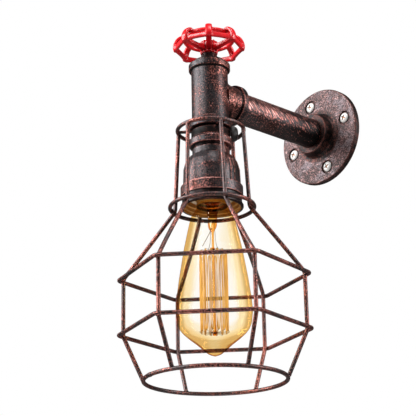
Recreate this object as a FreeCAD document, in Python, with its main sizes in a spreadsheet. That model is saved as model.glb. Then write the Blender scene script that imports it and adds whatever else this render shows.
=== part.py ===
# Industrial pipe wall light: a pipe bracket with a valve wheel, a wire cage, a lamp holder and a bulb.
# Frame of the part, in mm: origin on the wall at the centre of the flange's back face, +Z up,
# +Y into the wall. The lamp hangs from the tee, whose axis stands wall_distance in front of the wall.

import math
import os
import re

import FreeCAD
import Part
import Sketcher
from FreeCAD import Placement, Rotation, Vector

# ---------------------------------------------------------------- driving dimensions
# name, value or formula, meaning. Lengths in mm, angles in degrees. "down" is a depth below the
# tee's axis, "up" a height above it, "out" a distance from the wall.

DIMENSIONS = (
    ("wall_distance", "141.7", "lamp axis to the wall"),
    ("fit_gap", "0.05", "radial clearance of a turning fit"),
    ("run_gap", "0.4", "axial clearance of a turning piece"),
    # flange and its screws
    ("flange_r", "45.3", "wall flange, radius"),
    ("flange_thick", "5.8", "wall flange, plate"),
    ("flange_edge", "1.4", "rounded rim of the plate"),
    ("hub_r", "18.7", "flange hub, radius at its mouth"),
    ("hub_root_r", "19.6", "flange hub, radius at its root"),
    ("hub_out", "17", "flange hub, reach from the wall"),
    ("hub_fillet", "3", "fillet between hub and plate"),
    ("socket_deep", "13", "length of each screwed pipe socket"),
    ("screw_circle_r", "33.15", "circle of the wall screws"),
    ("screw_turn", "15.1", "first wall screw, from level"),
    ("seat_r", "6.2", "counterbore of a wall screw"),
    ("seat_deep", "1.6", "depth of that counterbore"),
    ("screw_hole_r", "2.6", "clearance hole of a wall screw"),
    ("screw_head_r", "4.5", "pan head"),
    ("screw_head_high", "2.5", "pan head"),
    ("screw_neck_r", "1.9", "plain shank between head and wall"),
    ("screw_shank_r", "2.2", "threaded shank behind the wall's face"),
    ("screw_behind", "8", "shank behind the wall's face, before its point"),
    ("cross_wide", "1.1", "cross recess, slot width"),
    ("cross_long", "5", "cross recess, slot length"),
    ("cross_deep", "1.3", "cross recess, depth"),
    # pipe and tee
    ("pipe_r", "13.45", "three quarter inch pipe, outside"),
    ("pipe_bore_r", "10.8", "pipe, inside"),
    ("tee_reach", "30", "tee, centre to each mouth"),
    ("tee_r", "15.75", "tee, body"),
    ("collar_r", "17.9", "tee, banded mouths"),
    ("collar_wide", "5.2", "tee, width of a band"),
    ("collar_edge", "0.6", "chamfer beside a band"),
    ("tee_bore_r", "11.4", "tee, passage"),
    # valve on top of the tee
    ("plug_flange_r", "14.6", "top plug, flange"),
    ("plug_flange_high", "3", "top plug, flange"),
    ("plug_deep", "12", "top plug, screwed length"),
    ("nut_across", "12.4", "stem nut, across flats"),
    ("nut_high", "7.6", "stem nut, height"),
    ("stem_r", "3.2", "valve stem"),
    ("stem_collar_r", "6", "collar that holds the stem in"),
    ("stem_collar_high", "3", "collar that holds the stem in"),
    ("stem_top_r", "2.6", "stem inside the wheel"),
    ("wheel_turn", "-42.75", "direction of the first rib of the wheel"),
    ("wheel_hub_r", "8", "wheel hub"),
    ("wheel_hub_high", "8", "wheel hub"),
    ("flute_r", "1.5", "flutes of the hub"),
    ("rim_r", "31.3", "wheel rim, at its corners"),
    ("rim_wide", "3", "wheel rim, thickness of the band"),
    ("rim_low", "2", "rim band above the hub's foot, lower edge"),
    ("rim_high", "7.2", "rim band above the hub's foot, upper edge"),
    ("ring_r", "20.8", "upper ring of the wheel"),
    ("ring_wire_r", "1.9", "upper ring, section"),
    ("ring_up", "14.8", "upper ring above the hub's foot"),
    ("rib_wide", "6", "ribs and spokes of the wheel"),
    ("rib_top", "18.6", "crest of a rib above the hub's foot"),
    ("rib_crest_r", "23.2", "crest of a rib, distance from the axis"),
    ("spoke_low", "0.6", "spoke, underside above the hub's foot"),
    ("spoke_high", "5.4", "spoke, top above the hub's foot"),
    ("washer_r", "6", "washer under the wheel nut"),
    ("washer_thick", "1", "washer under the wheel nut"),
    ("wheel_nut_across", "9", "wheel nut"),
    ("wheel_nut_high", "4.5", "wheel nut"),
    # hanging stack
    ("nipple_r", "5", "threaded lamp nipple, outside"),
    ("nipple_bore_r", "3.7", "lamp nipple, inside"),
    ("locknut_r", "8", "locknut of the nipple"),
    ("locknut_high", "3", "locknut of the nipple"),
    ("bushing_deep", "12", "reducing bushing in the tee"),
    ("spider_thick", "1.6", "cage spider, sheet"),
    ("spider_r", "12", "cage spider, disc"),
    ("spider_arm_wide", "8", "cage spider, arm"),
    ("switch_r", "16.5", "switch housing"),
    ("switch_high", "7.2", "switch housing"),
    ("knob_turn", "45", "direction of the switch knob"),
    ("knob_r", "6.2", "switch knob"),
    ("knob_near", "18.9", "switch knob, inner face from the axis"),
    ("knob_far", "25", "switch knob, outer face from the axis"),
    ("knob_down", "34.4", "switch knob, axis"),
    ("spindle_r", "2", "switch spindle"),
    ("spindle_near", "9", "switch spindle, inner end"),
    ("cap_r", "18.3", "holder cap"),
    ("cap_top_r", "17.2", "holder cap, upper edge"),
    ("cap_high", "7.4", "holder cap, height"),
    ("cap_plate", "2.2", "holder cap, top plate"),
    ("spigot_r", "14.6", "holder shell inside its cap"),
    ("neck_r", "15.9", "holder shell, neck"),
    ("groove_wide", "1.4", "groove between cap and neck"),
    ("shoulder_r", "22.4", "holder shell, shoulder"),
    ("shoulder_high", "7", "holder shell, from neck to body"),
    ("body_r", "24.2", "holder shell, body"),
    ("body_down", "82", "end of the shell"),
    ("shell_wall", "1.8", "wall of the shell"),
    ("rib_out_r", "25.4", "ribs of the shell"),
    ("shell_rib_wide", "5.6", "ribs of the shell"),
    ("belt_r", "26.2", "belt of the skirt"),
    ("belt_high", "9", "belt of the skirt"),
    ("skirt_r", "24.9", "skirt below the belt"),
    ("skirt_down", "100.5", "mouth of the skirt"),
    ("bead_r", "26.3", "bead at the mouth"),
    ("bead_high", "2.2", "bead at the mouth"),
    ("skirt_bore_r", "22", "skirt, inside"),
    # socket
    ("insulator_r", "18.2", "socket insulator"),
    ("insulator_flange_r", "22.9", "flange clamped between shell and skirt"),
    ("insulator_flange_high", "2", "that flange"),
    ("insulator_above", "6", "top of the insulator below the shell's neck"),
    ("insulator_plate", "6", "its top plate"),
    ("insulator_end", "92.6", "mouth of the insulator"),
    ("socket_r", "14.3", "insulator bore, screw shell outside"),
    ("shell_sheet", "0.5", "sheet of the screw shell"),
    ("terminal_wide", "4.6", "terminal block"),
    ("terminal_long", "6", "terminal block"),
    ("terminal_high", "4", "terminal block"),
    ("rivet_r", "1.5", "rivet of the centre contact"),
    ("contact_r", "5", "foot of the centre contact"),
    ("lead_r", "1.1", "insulated lead"),
    ("lead_apart", "2.45", "lead beside the nipple's axis"),
    ("lead_bend", "12", "bend of a lead in the tee"),
    ("block_out", "14", "connector block, from the wall"),
    ("block_long", "12", "connector block"),
    ("block_half_wide", "7", "connector block"),
    ("block_high", "10", "connector block"),
    # cage of round wire
    ("wire_r", "1.7", "cage wire"),
    ("cage_turn", "42.3", "direction of the first upright"),
    ("top_ring_r", "28.1", "cage top ring"),
    ("top_ring_down", "30.8", "cage top ring"),
    ("neck_bend_r", "31.4", "upright at its upper bend"),
    ("neck_bend_down", "100.9", "upright at its upper bend"),
    ("wide_r", "74.3", "upright at the hexagons"),
    ("upper_hex_down", "158.5", "upright at its shoulder bend"),
    ("lower_hex_down", "206.5", "upright at its lower bend"),
    ("low_ring_r", "57.5", "cage bottom ring"),
    ("low_ring_down", "244.8", "cage bottom ring"),
    ("upright_bend", "8", "bends of an upright"),
    ("hex_bend", "6", "corners of a hexagon"),
    ("weld_gap", "0.04", "seat of a wire on a wire"),
    # bulb
    ("bulb_tip_down", "225.8", "nose of the bulb"),
    ("bulb_r", "31.4", "bulb, widest"),
    ("glass_wall", "0.8", "glass"),
    ("cap_screw_r", "13.1", "screw cap of the bulb"),
    ("cap_sheet", "0.4", "sheet of the screw cap"),
    ("cap_end_down", "99", "rim of the screw cap"),
    ("cap_screw_down", "78.5", "top of the screw cap"),
    ("cap_neck_r", "10.5", "opening at its top"),
    ("tip_r", "4.6", "contact tip of the bulb"),
    ("tip_reach", "5.6", "contact tip above the screw cap"),
    ("contact_high", "3.9", "centre contact, from the plate to the bulb's tip"),
    ("stem_glass_r", "4", "glass stem inside the bulb"),
    ("stem_glass_down", "120", "pinch of the stem"),
    ("rod_r", "1", "glass rod of the stem"),
    ("filament_top_down", "138", "upper hooks"),
    ("filament_low_down", "206", "lower hooks"),
    ("filament_r", "11.4", "circle of the filament"),
    ("filament_wire_r", "0.3", "filament strand and hook"),
    ("strands", "14", "strands of the filament"),
    # derived places
    ("tee_top_up", "tee_reach + plug_flange_high", "seat of the stem nut"),
    ("wheel_up", "tee_top_up + nut_high + run_gap", "foot of the wheel hub"),
    ("spider_down", "tee_reach + spider_thick", "underside of the spider"),
    ("cap_down", "spider_down + switch_high", "top of the holder cap"),
    ("cap_end", "cap_down + cap_high", "lower edge of the holder cap"),
    ("cap_floor", "cap_down + cap_plate", "underside of the cap's plate"),
    ("nipple_down", "cap_floor + locknut_high + 2", "lower end of the nipple"),
    ("bushing_up", "tee_reach - bushing_deep", "upper face of the bushing"),
    ("tip_down", "cap_screw_down - tip_reach", "contact tip of the bulb"),
    ("plate_down", "tip_down - contact_high", "underside of the socket's plate"),
    ("insulator_down", "plate_down - insulator_plate", "top of the insulator"),
    ("neck_down", "insulator_down - insulator_above", "end of the shell's neck"),
    ("shoulder_down", "neck_down + shoulder_high", "foot of the shoulder"),
    ("bulb_neck_down", "cap_end_down + 10", "start of the bulb's flank"),
    ("hex_r", "wide_r + 2 * wire_r + weld_gap + hex_bend * (1 / cos(30) - 1)", "hexagon corner"),
    ("ring_seat", "wire_r * 1.06", "end of an upright from the bottom ring's centre"),
    ("pipe_end_out", "wall_distance - tee_reach + socket_deep", "end of the pipe in the tee"),
    ("pipe_start_out", "hub_out - socket_deep", "end of the pipe in the flange"),
)

doc = FreeCAD.newDocument("PipeWallLight")
sheet = doc.addObject("Spreadsheet::Sheet", "Sizes")
NAMES = {name for name, _, _ in DIMENSIONS}


def bound(text):
    """An expression over the sheet: each known name gets its sheet in front."""
    return re.sub(r"[a-z_]\w*", lambda m: "Sizes." + m[0] if m[0] in NAMES else m[0], str(text))


def size(text):
    """The present value of an expression over the sheet."""
    result = sheet.evalExpression(bound(text))
    return float(getattr(result, "Value", result))


for row, (name, formula, meaning) in enumerate(DIMENSIONS, 1):
    is_number = re.fullmatch(r"-?[\d.]+", formula)
    sheet.set(f"A{row}", meaning)
    sheet.set(f"B{row}", formula if is_number else "=" + formula)
    sheet.setAlias(f"B{row}", name)
doc.recompute()

STRANDS = int(size("strands"))
RIBS = 8        # ribs of the wheel, one at each corner of its rim

# ---------------------------------------------------------------- frames of the three stacks

UP = Rotation()                            # local +Z is up
DOWN = Rotation(Vector(1, 0, 0), 180)      # local +Z is down, below the tee
OUT = Rotation(Vector(1, 0, 0), 90)        # local +Z is out from the wall


def place(item, turn=UP, **base):
    """Places an object with a fixed turn and a base bound to the sheet (x, y or z)."""
    item.Placement = Placement(Vector(), turn)
    for axis, formula in base.items():
        item.setExpression(f"Placement.Base.{axis}", bound(formula))
    return item


def on_lamp_axis(item, turn=UP, spin="0", **base):
    """Places an object on the lamp's axis, spun about it by a size of the sheet."""
    return place(item, Rotation(Vector(0, 0, 1), size(spin)) * turn, y="-wall_distance", **base)


# ---------------------------------------------------------------- sketches and bodies


def new_body(name):
    body = doc.addObject("PartDesign::Body", name)
    body.Label = name
    return body


def new_sketch(body, name, plane="XZ_Plane"):
    """A sketch on one of the body's own origin planes."""
    sketch = body.newObject("Sketcher::SketchObject", name)
    support = next(o for o in body.Origin.OriginFeatures if o.Role == plane)
    sketch.AttachmentSupport = [(support, "")]
    sketch.MapMode = "FlatFace"
    return sketch


def pin(sketch, curve, point, x, y):
    """Holds a point of a sketch at two expressions of the sheet."""
    for kind, axis, formula in (("DistanceX", -2, x), ("DistanceY", -1, y)):
        if str(formula) == "0":
            sketch.addConstraint(Sketcher.Constraint("PointOnObject", curve, point, axis))
            continue
        index = sketch.addConstraint(Sketcher.Constraint(kind, -1, 1, curve, point, size(formula)))
        sketch.setExpression(f"Constraints[{index}]", bound(formula))


def draw_outline(sketch, corners):
    """A closed outline through corners (x, y) of expressions.

    A corner (x, y, radius, side) starts an arc to the next corner, with its centre to the
    left (+1) or right (-1) of the way.
    """
    count = len(corners)
    points = [Vector(size(c[0]), size(c[1]), 0) for c in corners]
    curves = []
    for i, corner in enumerate(corners):
        start, end = points[i], points[(i + 1) % count]
        if len(corner) == 2:
            curves.append(sketch.addGeometry(Part.LineSegment(start, end), False))
            continue
        radius, side = size(corner[2]), corner[3]
        chord = end - start
        across = Vector(-chord.y, chord.x, 0).normalize() * side
        centre = (start + end) / 2 + across * math.sqrt(radius ** 2 - chord.Length ** 2 / 4)
        angles = [math.atan2((p - centre).y, (p - centre).x) for p in (start, end)]
        first, last = angles if side > 0 else angles[::-1]
        circle = Part.Circle(centre, Vector(0, 0, 1), radius)
        curves.append(sketch.addGeometry(Part.ArcOfCircle(circle, first, last), False))
    starts = [2 if len(c) > 2 and c[3] < 0 else 1 for c in corners]
    for i, curve in enumerate(curves):
        following = (i + 1) % count
        sketch.addConstraint(
            Sketcher.Constraint("Coincident", curve, 3 - starts[i], curves[following], starts[following])
        )
    for i, corner in enumerate(corners):
        pin(sketch, curves[i], starts[i], corner[0], corner[1])
        if len(corner) > 2:
            index = sketch.addConstraint(Sketcher.Constraint("Radius", curves[i], size(corner[2])))
            sketch.setExpression(f"Constraints[{index}]", bound(corner[2]))
    return sketch


def draw_circle(sketch, x, y, radius):
    """A circle whose centre and radius are expressions of the sheet."""
    circle = Part.Circle(Vector(size(x), size(y), 0), Vector(0, 0, 1), size(radius))
    curve = sketch.addGeometry(circle, False)
    index = sketch.addConstraint(Sketcher.Constraint("Radius", curve, size(radius)))
    sketch.setExpression(f"Constraints[{index}]", bound(radius))
    pin(sketch, curve, 3, x, y)
    return sketch


def turn_feature(body, kind, name, corners, axis="V_Axis", plane="XZ_Plane"):
    """A Revolution or Groove of an outline, all the way round an axis of its sketch."""
    sketch = draw_outline(new_sketch(body, name + "_outline", plane), corners)
    feature = body.newObject("PartDesign::" + kind, name)
    feature.Profile = sketch
    feature.ReferenceAxis = (sketch, [axis])
    feature.Angle = 360
    return feature


def turned(name, corners):
    """A body turned about its Z axis from corners (radius, height)."""
    body = new_body(name)
    turn_feature(body, "Revolution", name + "_turned", corners)
    return body


def pad_feature(body, kind, name, sketch, length, both_ways=False, reverse=False):
    """A Pad or Pocket of a sketch with a length bound to the sheet."""
    feature = body.newObject("PartDesign::" + kind, name)
    feature.Profile = sketch
    feature.setExpression("Length", bound(length))
    feature.Midplane = both_ways
    feature.Reversed = reverse
    return feature


def round_pattern(body, feature, name, count, angle=360):
    """Repeats a feature round the body's Z axis."""
    pattern = body.newObject("PartDesign::PolarPattern", name)
    pattern.Originals = [feature]
    axis = next(o for o in body.Origin.OriginFeatures if o.Role == "Z_Axis")
    pattern.Axis = (axis, [""])
    pattern.Angle = angle
    pattern.Occurrences = count
    body.Tip = pattern
    return pattern


def polygon(count, radius, start=0):
    """Corners of a regular polygon, as expressions."""
    angles = [start + 360 / count * i for i in range(count)]
    return [(f"({radius}) * cos({a})", f"({radius}) * sin({a})") for a in angles]


def wire_section(x, y, radius):
    """Corners of an eight-sided section, which stands for a round wire with few faces."""
    return [(f"{x} + {dx}", f"{y} + {dy}") for dx, dy in polygon(8, f"{radius} * 1.03", 22.5)]


def prism(body, name, across, low, high, bore=None):
    """A hexagon prism across flats, from one height to another, with a round bore."""
    sketch = new_sketch(body, name + "_outline", "XY_Plane")
    draw_outline(sketch, polygon(6, f"{across} / 2 / cos(30)"))
    if bore:
        draw_circle(sketch, "0", "0", bore)
    sketch.AttachmentOffset = Placement(Vector(0, 0, size(low)), Rotation())
    sketch.setExpression("AttachmentOffset.Base.z", bound(low))
    return pad_feature(body, "Pad", name, sketch, f"({high}) - ({low})")


def bent_path(sketch, corners, bend):
    """An open path through corners (x, y), with an arc of radius bend at each inner corner."""
    points = [Vector(size(x), size(y), 0) for x, y in corners]
    radius = size(bend)
    ends = [points[0]]
    arcs = []
    for before, corner, after in zip(points, points[1:], points[2:]):
        back, ahead = (before - corner).normalize(), (after - corner).normalize()
        half = back.getAngle(ahead) / 2
        reach = radius / math.tan(half)
        centre = corner + (back + ahead).normalize() * (radius / math.sin(half))
        ends += [corner + back * reach, corner + ahead * reach]
        arcs.append((centre, back.cross(ahead).z > 0))
    ends.append(points[-1])
    lines = [
        sketch.addGeometry(Part.LineSegment(ends[2 * i], ends[2 * i + 1]), False)
        for i in range(len(points) - 1)
    ]
    for i, (centre, clockwise) in enumerate(arcs):
        start, end = ends[2 * i + 1], ends[2 * i + 2]
        first, last = (end, start) if clockwise else (start, end)
        angles = [math.atan2((p - centre).y, (p - centre).x) for p in (first, last)]
        circle = Part.Circle(centre, Vector(0, 0, 1), radius)
        curve = sketch.addGeometry(Part.ArcOfCircle(circle, *angles), False)
        at_start, at_end = (2, 1) if clockwise else (1, 2)
        sketch.addConstraint(Sketcher.Constraint("Tangent", lines[i], 2, curve, at_start))
        sketch.addConstraint(Sketcher.Constraint("Tangent", curve, at_end, lines[i + 1], 1))
        index = sketch.addConstraint(Sketcher.Constraint("Radius", curve, radius))
        sketch.setExpression(f"Constraints[{index}]", bound(bend))
        mark = sketch.addGeometry(Part.Point(points[i + 1]), True)
        pin(sketch, mark, 1, *corners[i + 1])
        sketch.addConstraint(Sketcher.Constraint("PointOnObject", mark, 1, lines[i]))
        sketch.addConstraint(Sketcher.Constraint("PointOnObject", mark, 1, lines[i + 1]))
    pin(sketch, lines[0], 1, *corners[0])
    pin(sketch, lines[-1], 2, *corners[-1])
    return sketch


def swept(body, name, path, section):
    """A pipe of a section sketch along every curve of a path sketch."""
    feature = body.newObject("PartDesign::AdditivePipe", name)
    feature.Profile = section
    feature.Spine = (path, [f"Edge{i}" for i in range(1, len(path.Shape.Edges) + 1)])
    return feature


def ring(name, radius, section, down):
    """A round ring of wire, hung at a depth on the lamp's axis."""
    return place(turned(name, wire_section(radius, "0", section)), UP, y="-wall_distance", z=f"-({down})")


def copies(name, original, spots):
    """One node of separate solids: links to a hidden original, each at its own placement."""
    links = []
    for i, (turn, base) in enumerate(spots, 1):
        link = doc.addObject("App::Link", f"{name}_{i}")
        link.LinkedObject = original
        link.LinkTransform = False
        links.append(place(link, turn, **base))
    group = doc.addObject("Part::Compound", name)
    group.Label = name
    group.Links = links
    return group


nodes = []

# ---------------------------------------------------------------- wall flange, screws and pipe


def make_flange():
    body = turned("wall_flange", (
        ("pipe_bore_r", "0"),
        ("flange_r", "0"),
        ("flange_r", "flange_thick - flange_edge"),
        ("flange_r - flange_edge * 0.3", "flange_thick - flange_edge * 0.3"),
        ("flange_r - flange_edge", "flange_thick"),
        ("hub_root_r + hub_fillet", "flange_thick"),
        ("hub_root_r + hub_fillet * 0.29", "flange_thick + hub_fillet * 0.29"),
        ("hub_root_r", "flange_thick + hub_fillet"),
        ("hub_r", "hub_out - 1"),
        ("hub_r - 1", "hub_out"),
        ("pipe_r", "hub_out"),
        ("pipe_r", "pipe_start_out"),
        ("pipe_bore_r", "pipe_start_out"),
    ))
    x = "screw_circle_r * cos(screw_turn)"
    y = "screw_circle_r * sin(screw_turn)"
    through = draw_circle(new_sketch(body, "screw_hole_outline", "XY_Plane"), x, y, "screw_hole_r")
    hole = pad_feature(body, "Pocket", "screw_hole", through, "flange_thick + 1", both_ways=True)
    hole.Type = "ThroughAll"
    round_pattern(body, hole, "screw_holes", 4)
    wide = draw_circle(new_sketch(body, "screw_seat_outline", "XY_Plane"), x, y, "seat_r")
    wide.setExpression("AttachmentOffset.Base.z", bound("flange_thick"))
    seat = pad_feature(body, "Pocket", "screw_seat", wide, "seat_deep")
    round_pattern(body, seat, "screw_seats", 4)
    return place(body, OUT)


def make_wall_screws():
    screw = turned("wall_screw", (
        ("0", "-screw_behind - flange_thick + seat_deep - 4"),
        ("screw_shank_r", "-screw_behind - flange_thick + seat_deep"),
        ("screw_shank_r", "seat_deep - flange_thick"),
        ("screw_neck_r", "seat_deep - flange_thick"),
        ("screw_neck_r", "0"),
        ("screw_head_r", "0"),
        ("screw_head_r", "screw_head_high * 0.35"),
        ("screw_head_r * 0.8", "screw_head_high * 0.85"),
        ("screw_head_r * 0.5", "screw_head_high"),
        ("0", "screw_head_high"),
    ))
    for name, wide, high in (("slot_a", "cross_long", "cross_wide"), ("slot_b", "cross_wide", "cross_long")):
        sketch = new_sketch(screw, name + "_outline", "XY_Plane")
        draw_outline(sketch, [(f"{sx} * {wide} / 2", f"{sy} * {high} / 2")
                              for sx, sy in ((-1, -1), (1, -1), (1, 1), (-1, 1))])
        sketch.setExpression("AttachmentOffset.Base.z", bound("screw_head_high"))
        pad_feature(screw, "Pocket", name, sketch, "cross_deep")
    spots = [
        (Rotation(Vector(1, 0, 0), 90), {
            "x": f"screw_circle_r * cos(screw_turn + {90 * i})",
            "y": "seat_deep - flange_thick",
            "z": f"screw_circle_r * sin(screw_turn + {90 * i})",
        })
        for i in range(4)
    ]
    return copies("wall_screws", screw, spots)


def make_pipe():
    body = turned("support_pipe", (
        ("pipe_bore_r", "pipe_start_out"),
        ("pipe_r", "pipe_start_out"),
        ("pipe_r", "pipe_end_out"),
        ("pipe_bore_r", "pipe_end_out"),
    ))
    return place(body, OUT)


nodes += [make_flange(), make_wall_screws(), make_pipe()]

# ---------------------------------------------------------------- tee


def banded(sign, edge, radius):
    """Corners of one banded mouth of the tee, from its body outwards (along, radius)."""
    return [
        (f"{sign}(tee_reach - collar_wide - collar_edge)", "tee_r"),
        (f"{sign}(tee_reach - collar_wide)", f"collar_r - {edge}"),
        (f"{sign}(tee_reach - collar_wide + {edge})", "collar_r"),
        (f"{sign}(tee_reach - {edge})", "collar_r"),
        (f"{sign}tee_reach", f"collar_r - {edge}"),
        (f"{sign}tee_reach", radius),
    ]


def make_tee():
    body = new_body("pipe_tee")
    mouth = banded("", "0.5", "0")
    foot = [(f"-({along})", radius) for along, radius in mouth[::-1]]
    run = [(radius, along) for along, radius in foot + mouth]
    turn_feature(body, "Revolution", "run", run)
    turn_feature(body, "Revolution", "branch", [("0", "0"), ("0", "tee_r")] + mouth, "H_Axis", "YZ_Plane")
    ends = "tee_reach - socket_deep"
    turn_feature(body, "Groove", "run_bore", (
        ("0", "-tee_reach"), ("pipe_r", "-tee_reach"), ("pipe_r", f"-({ends})"), ("tee_bore_r", f"-({ends})"),
        ("tee_bore_r", ends), ("pipe_r", ends), ("pipe_r", "tee_reach"), ("0", "tee_reach"),
    ))
    turn_feature(body, "Groove", "branch_bore", (
        ("0", "0"), ("0", "tee_bore_r"), (ends, "tee_bore_r"), (ends, "pipe_r"), ("tee_reach", "pipe_r"),
        ("tee_reach", "0"),
    ), "H_Axis", "YZ_Plane")
    return on_lamp_axis(body)


nodes.append(make_tee())

# ---------------------------------------------------------------- valve: plug, stem, nut and wheel


def make_top_plug():
    foot = "tee_reach - plug_deep"
    return on_lamp_axis(turned("top_plug", (
        ("stem_r + fit_gap", foot), ("pipe_r", foot), ("pipe_r", "tee_reach"),
        ("plug_flange_r", "tee_reach"), ("plug_flange_r", "tee_top_up - 0.8"),
        ("plug_flange_r - 0.8", "tee_top_up"), ("stem_r + fit_gap", "tee_top_up"),
    )))


def make_stem_nut():
    body = new_body("stem_nut")
    prism(body, "hexagon", "nut_across", "tee_top_up", "tee_top_up + nut_high", "stem_r + fit_gap")
    return on_lamp_axis(body, spin="wheel_turn")


def make_stem():
    low = "tee_reach - plug_deep - run_gap"
    return on_lamp_axis(turned("valve_stem", (
        ("0", f"{low} - stem_collar_high"), ("stem_collar_r", f"{low} - stem_collar_high"),
        ("stem_collar_r", low), ("stem_r", low), ("stem_r", "wheel_up"), ("stem_top_r", "wheel_up"),
        ("stem_top_r", "wheel_up + wheel_hub_high + washer_thick + wheel_nut_high + 0.8"),
        ("0", "wheel_up + wheel_hub_high + washer_thick + wheel_nut_high + 0.8"),
    )))


def make_wheel():
    """The cast wheel: fluted hub, eight-sided rim band, upper ring, eight ribs and six spokes."""
    body = new_body("handwheel")
    turn_feature(body, "Revolution", "hub", (
        ("stem_top_r", "0"), ("wheel_hub_r - 1", "0"), ("wheel_hub_r", "1"),
        ("wheel_hub_r", "wheel_hub_high - 1.5"), ("wheel_hub_r - 1.5", "wheel_hub_high"),
        ("stem_top_r", "wheel_hub_high"),
    ))
    flute = new_sketch(body, "flute_outline", "XY_Plane")
    draw_circle(flute, "(wheel_hub_r + 0.5) * cos(22.5)", "(wheel_hub_r + 0.5) * sin(22.5)", "flute_r")
    cut = pad_feature(body, "Pocket", "flute", flute, "wheel_hub_high", reverse=True)
    round_pattern(body, cut, "flutes", RIBS)

    band = new_sketch(body, "rim_outline", "XY_Plane")
    draw_outline(band, polygon(RIBS, "rim_r"))
    draw_outline(band, polygon(RIBS, "rim_r - rim_wide / cos(180 / 8)"))
    band.setExpression("AttachmentOffset.Base.z", bound("rim_low"))
    pad_feature(body, "Pad", "rim", band, "rim_high - rim_low")

    turn_feature(body, "Revolution", "upper_ring", wire_section("ring_r", "ring_up", "ring_wire_r"))

    rib = draw_outline(new_sketch(body, "rib_outline"), (
        ("rim_r - rim_wide", "rim_low + 0.3"),
        ("rim_r - 0.3", "rim_low + 0.3"),
        ("rim_r - 0.3", "rim_high", "14", 1),
        ("rib_crest_r", "rib_top", "4.5", 1),
        ("ring_r - 1.2", "ring_up"),
        ("ring_r + 1.2", "ring_up - 1.2"),
        ("rib_crest_r + 0.4", "rib_top - 4.6", "9", -1),
        ("rim_r - rim_wide - 1", "rim_high - 0.5"),
    ))
    arch = pad_feature(body, "Pad", "rib", rib, "rib_wide", both_ways=True)
    round_pattern(body, arch, "ribs", RIBS)

    spoke_corners = (
        ("stem_top_r + 1.5", "spoke_low"),
        ("rim_r - 0.4", "rim_low"),
        ("rim_r - 0.4", "rim_high - 0.5"),
        ("ring_r + 2", "ring_up"),
        ("ring_r - 1.6", "ring_up", "8", 1),
        ("ring_r - 5", "spoke_high"),
        ("stem_top_r + 1.5", "spoke_high"),
    )
    for name, first_rib in (("spokes_between", 1), ("spokes_in_line", 0)):
        sketch = draw_outline(new_sketch(body, name + "_outline"), spoke_corners)
        sketch.AttachmentOffset = Placement(Vector(), Rotation(Vector(0, 1, 0), first_rib * 360 / RIBS))
        spoke = pad_feature(body, "Pad", name, sketch, "rib_wide - 0.6", both_ways=True)
        round_pattern(body, spoke, name + "_pattern", 4 if first_rib else 2)
    place(body, Rotation(Vector(0, 0, 1), size("wheel_turn")), y="-wall_distance", z="wheel_up")
    return body


def make_washer():
    top = "wheel_up + wheel_hub_high"
    return on_lamp_axis(turned("wheel_washer", (
        ("stem_top_r", top), ("washer_r", top), ("washer_r", f"{top} + washer_thick"),
        ("stem_top_r", f"{top} + washer_thick"),
    )))


def make_wheel_nut():
    body = new_body("wheel_nut")
    low = "wheel_up + wheel_hub_high + washer_thick"
    prism(body, "hexagon", "wheel_nut_across", low, low + " + wheel_nut_high", "stem_top_r")
    return on_lamp_axis(body)


nodes += [make_top_plug(), make_stem_nut(), make_stem(), make_wheel(), make_washer(), make_wheel_nut()]

# ---------------------------------------------------------------- nipple, locknuts and cage spider


def make_bushing():
    return on_lamp_axis(turned("tee_bushing", (
        ("nipple_r", "bushing_up"), ("pipe_r", "bushing_up"), ("pipe_r", "tee_reach"),
        ("nipple_r", "tee_reach"),
    )), DOWN)


def make_nipple():
    return on_lamp_axis(turned("lamp_nipple", (
        ("nipple_bore_r", "bushing_up - locknut_high - 1"), ("nipple_r", "bushing_up - locknut_high - 1"),
        ("nipple_r", "nipple_down"), ("nipple_bore_r", "nipple_down"),
    )), DOWN)


def make_locknuts():
    nut = new_body("locknut")
    prism(nut, "locknut_hexagon", "2 * locknut_r * cos(30)", "0", "locknut_high", "nipple_r")
    axis = {"y": "-wall_distance"}
    return copies("nipple_locknuts", nut, [
        (UP, {**axis, "z": "-bushing_up"}),
        (UP, {**axis, "z": "-cap_floor - locknut_high"}),
    ])


def make_spider(top_ring):
    """Three sheet arms from the nipple to the cage's top ring, shaped to the ring's wire."""
    blank = new_body("spider_blank")
    disc = new_sketch(blank, "disc_outline", "XY_Plane")
    draw_circle(disc, "0", "0", "spider_r")
    pad_feature(blank, "Pad", "disc", disc, "spider_thick")
    arm = new_sketch(blank, "arm_outline", "XY_Plane")
    half = "spider_arm_wide / 2"
    draw_outline(arm, (("0", f"-{half}"), ("top_ring_r", f"-{half}"), ("top_ring_r", half), ("0", half)))
    strap = pad_feature(blank, "Pad", "arm", arm, "spider_thick")
    round_pattern(blank, strap, "arms", 3)
    hole = draw_circle(new_sketch(blank, "hole_outline", "XY_Plane"), "0", "0", "nipple_r")
    pad_feature(blank, "Pocket", "hole", hole, "spider_thick", reverse=True)
    place(blank, Rotation(Vector(0, 0, 1), size("cage_turn") + 180), y="-wall_distance", z="-spider_down")
    spider = doc.addObject("Part::Cut", "cage_spider")
    spider.Label = "cage_spider"
    spider.Base = blank
    spider.Tool = top_ring
    return spider


nodes += [make_bushing(), make_nipple(), make_locknuts()]

# ---------------------------------------------------------------- switch


def make_switch_housing():
    body = turned("switch_housing", (
        ("nipple_r", "spider_down"), ("switch_r - 1", "spider_down"), ("switch_r", "spider_down + 1"),
        ("switch_r", "cap_down"), ("nipple_r", "cap_down"),
    ))
    outline = new_sketch(body, "spindle_bore_outline", "YZ_Plane")
    bore = draw_circle(outline, "0", "knob_down", "spindle_r + fit_gap")
    bore.setExpression("AttachmentOffset.Base.z", bound("spindle_near - run_gap"))
    pad_feature(body, "Pocket", "spindle_bore", bore, "switch_r", reverse=True)
    return on_lamp_axis(body, DOWN, "knob_turn")


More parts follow.
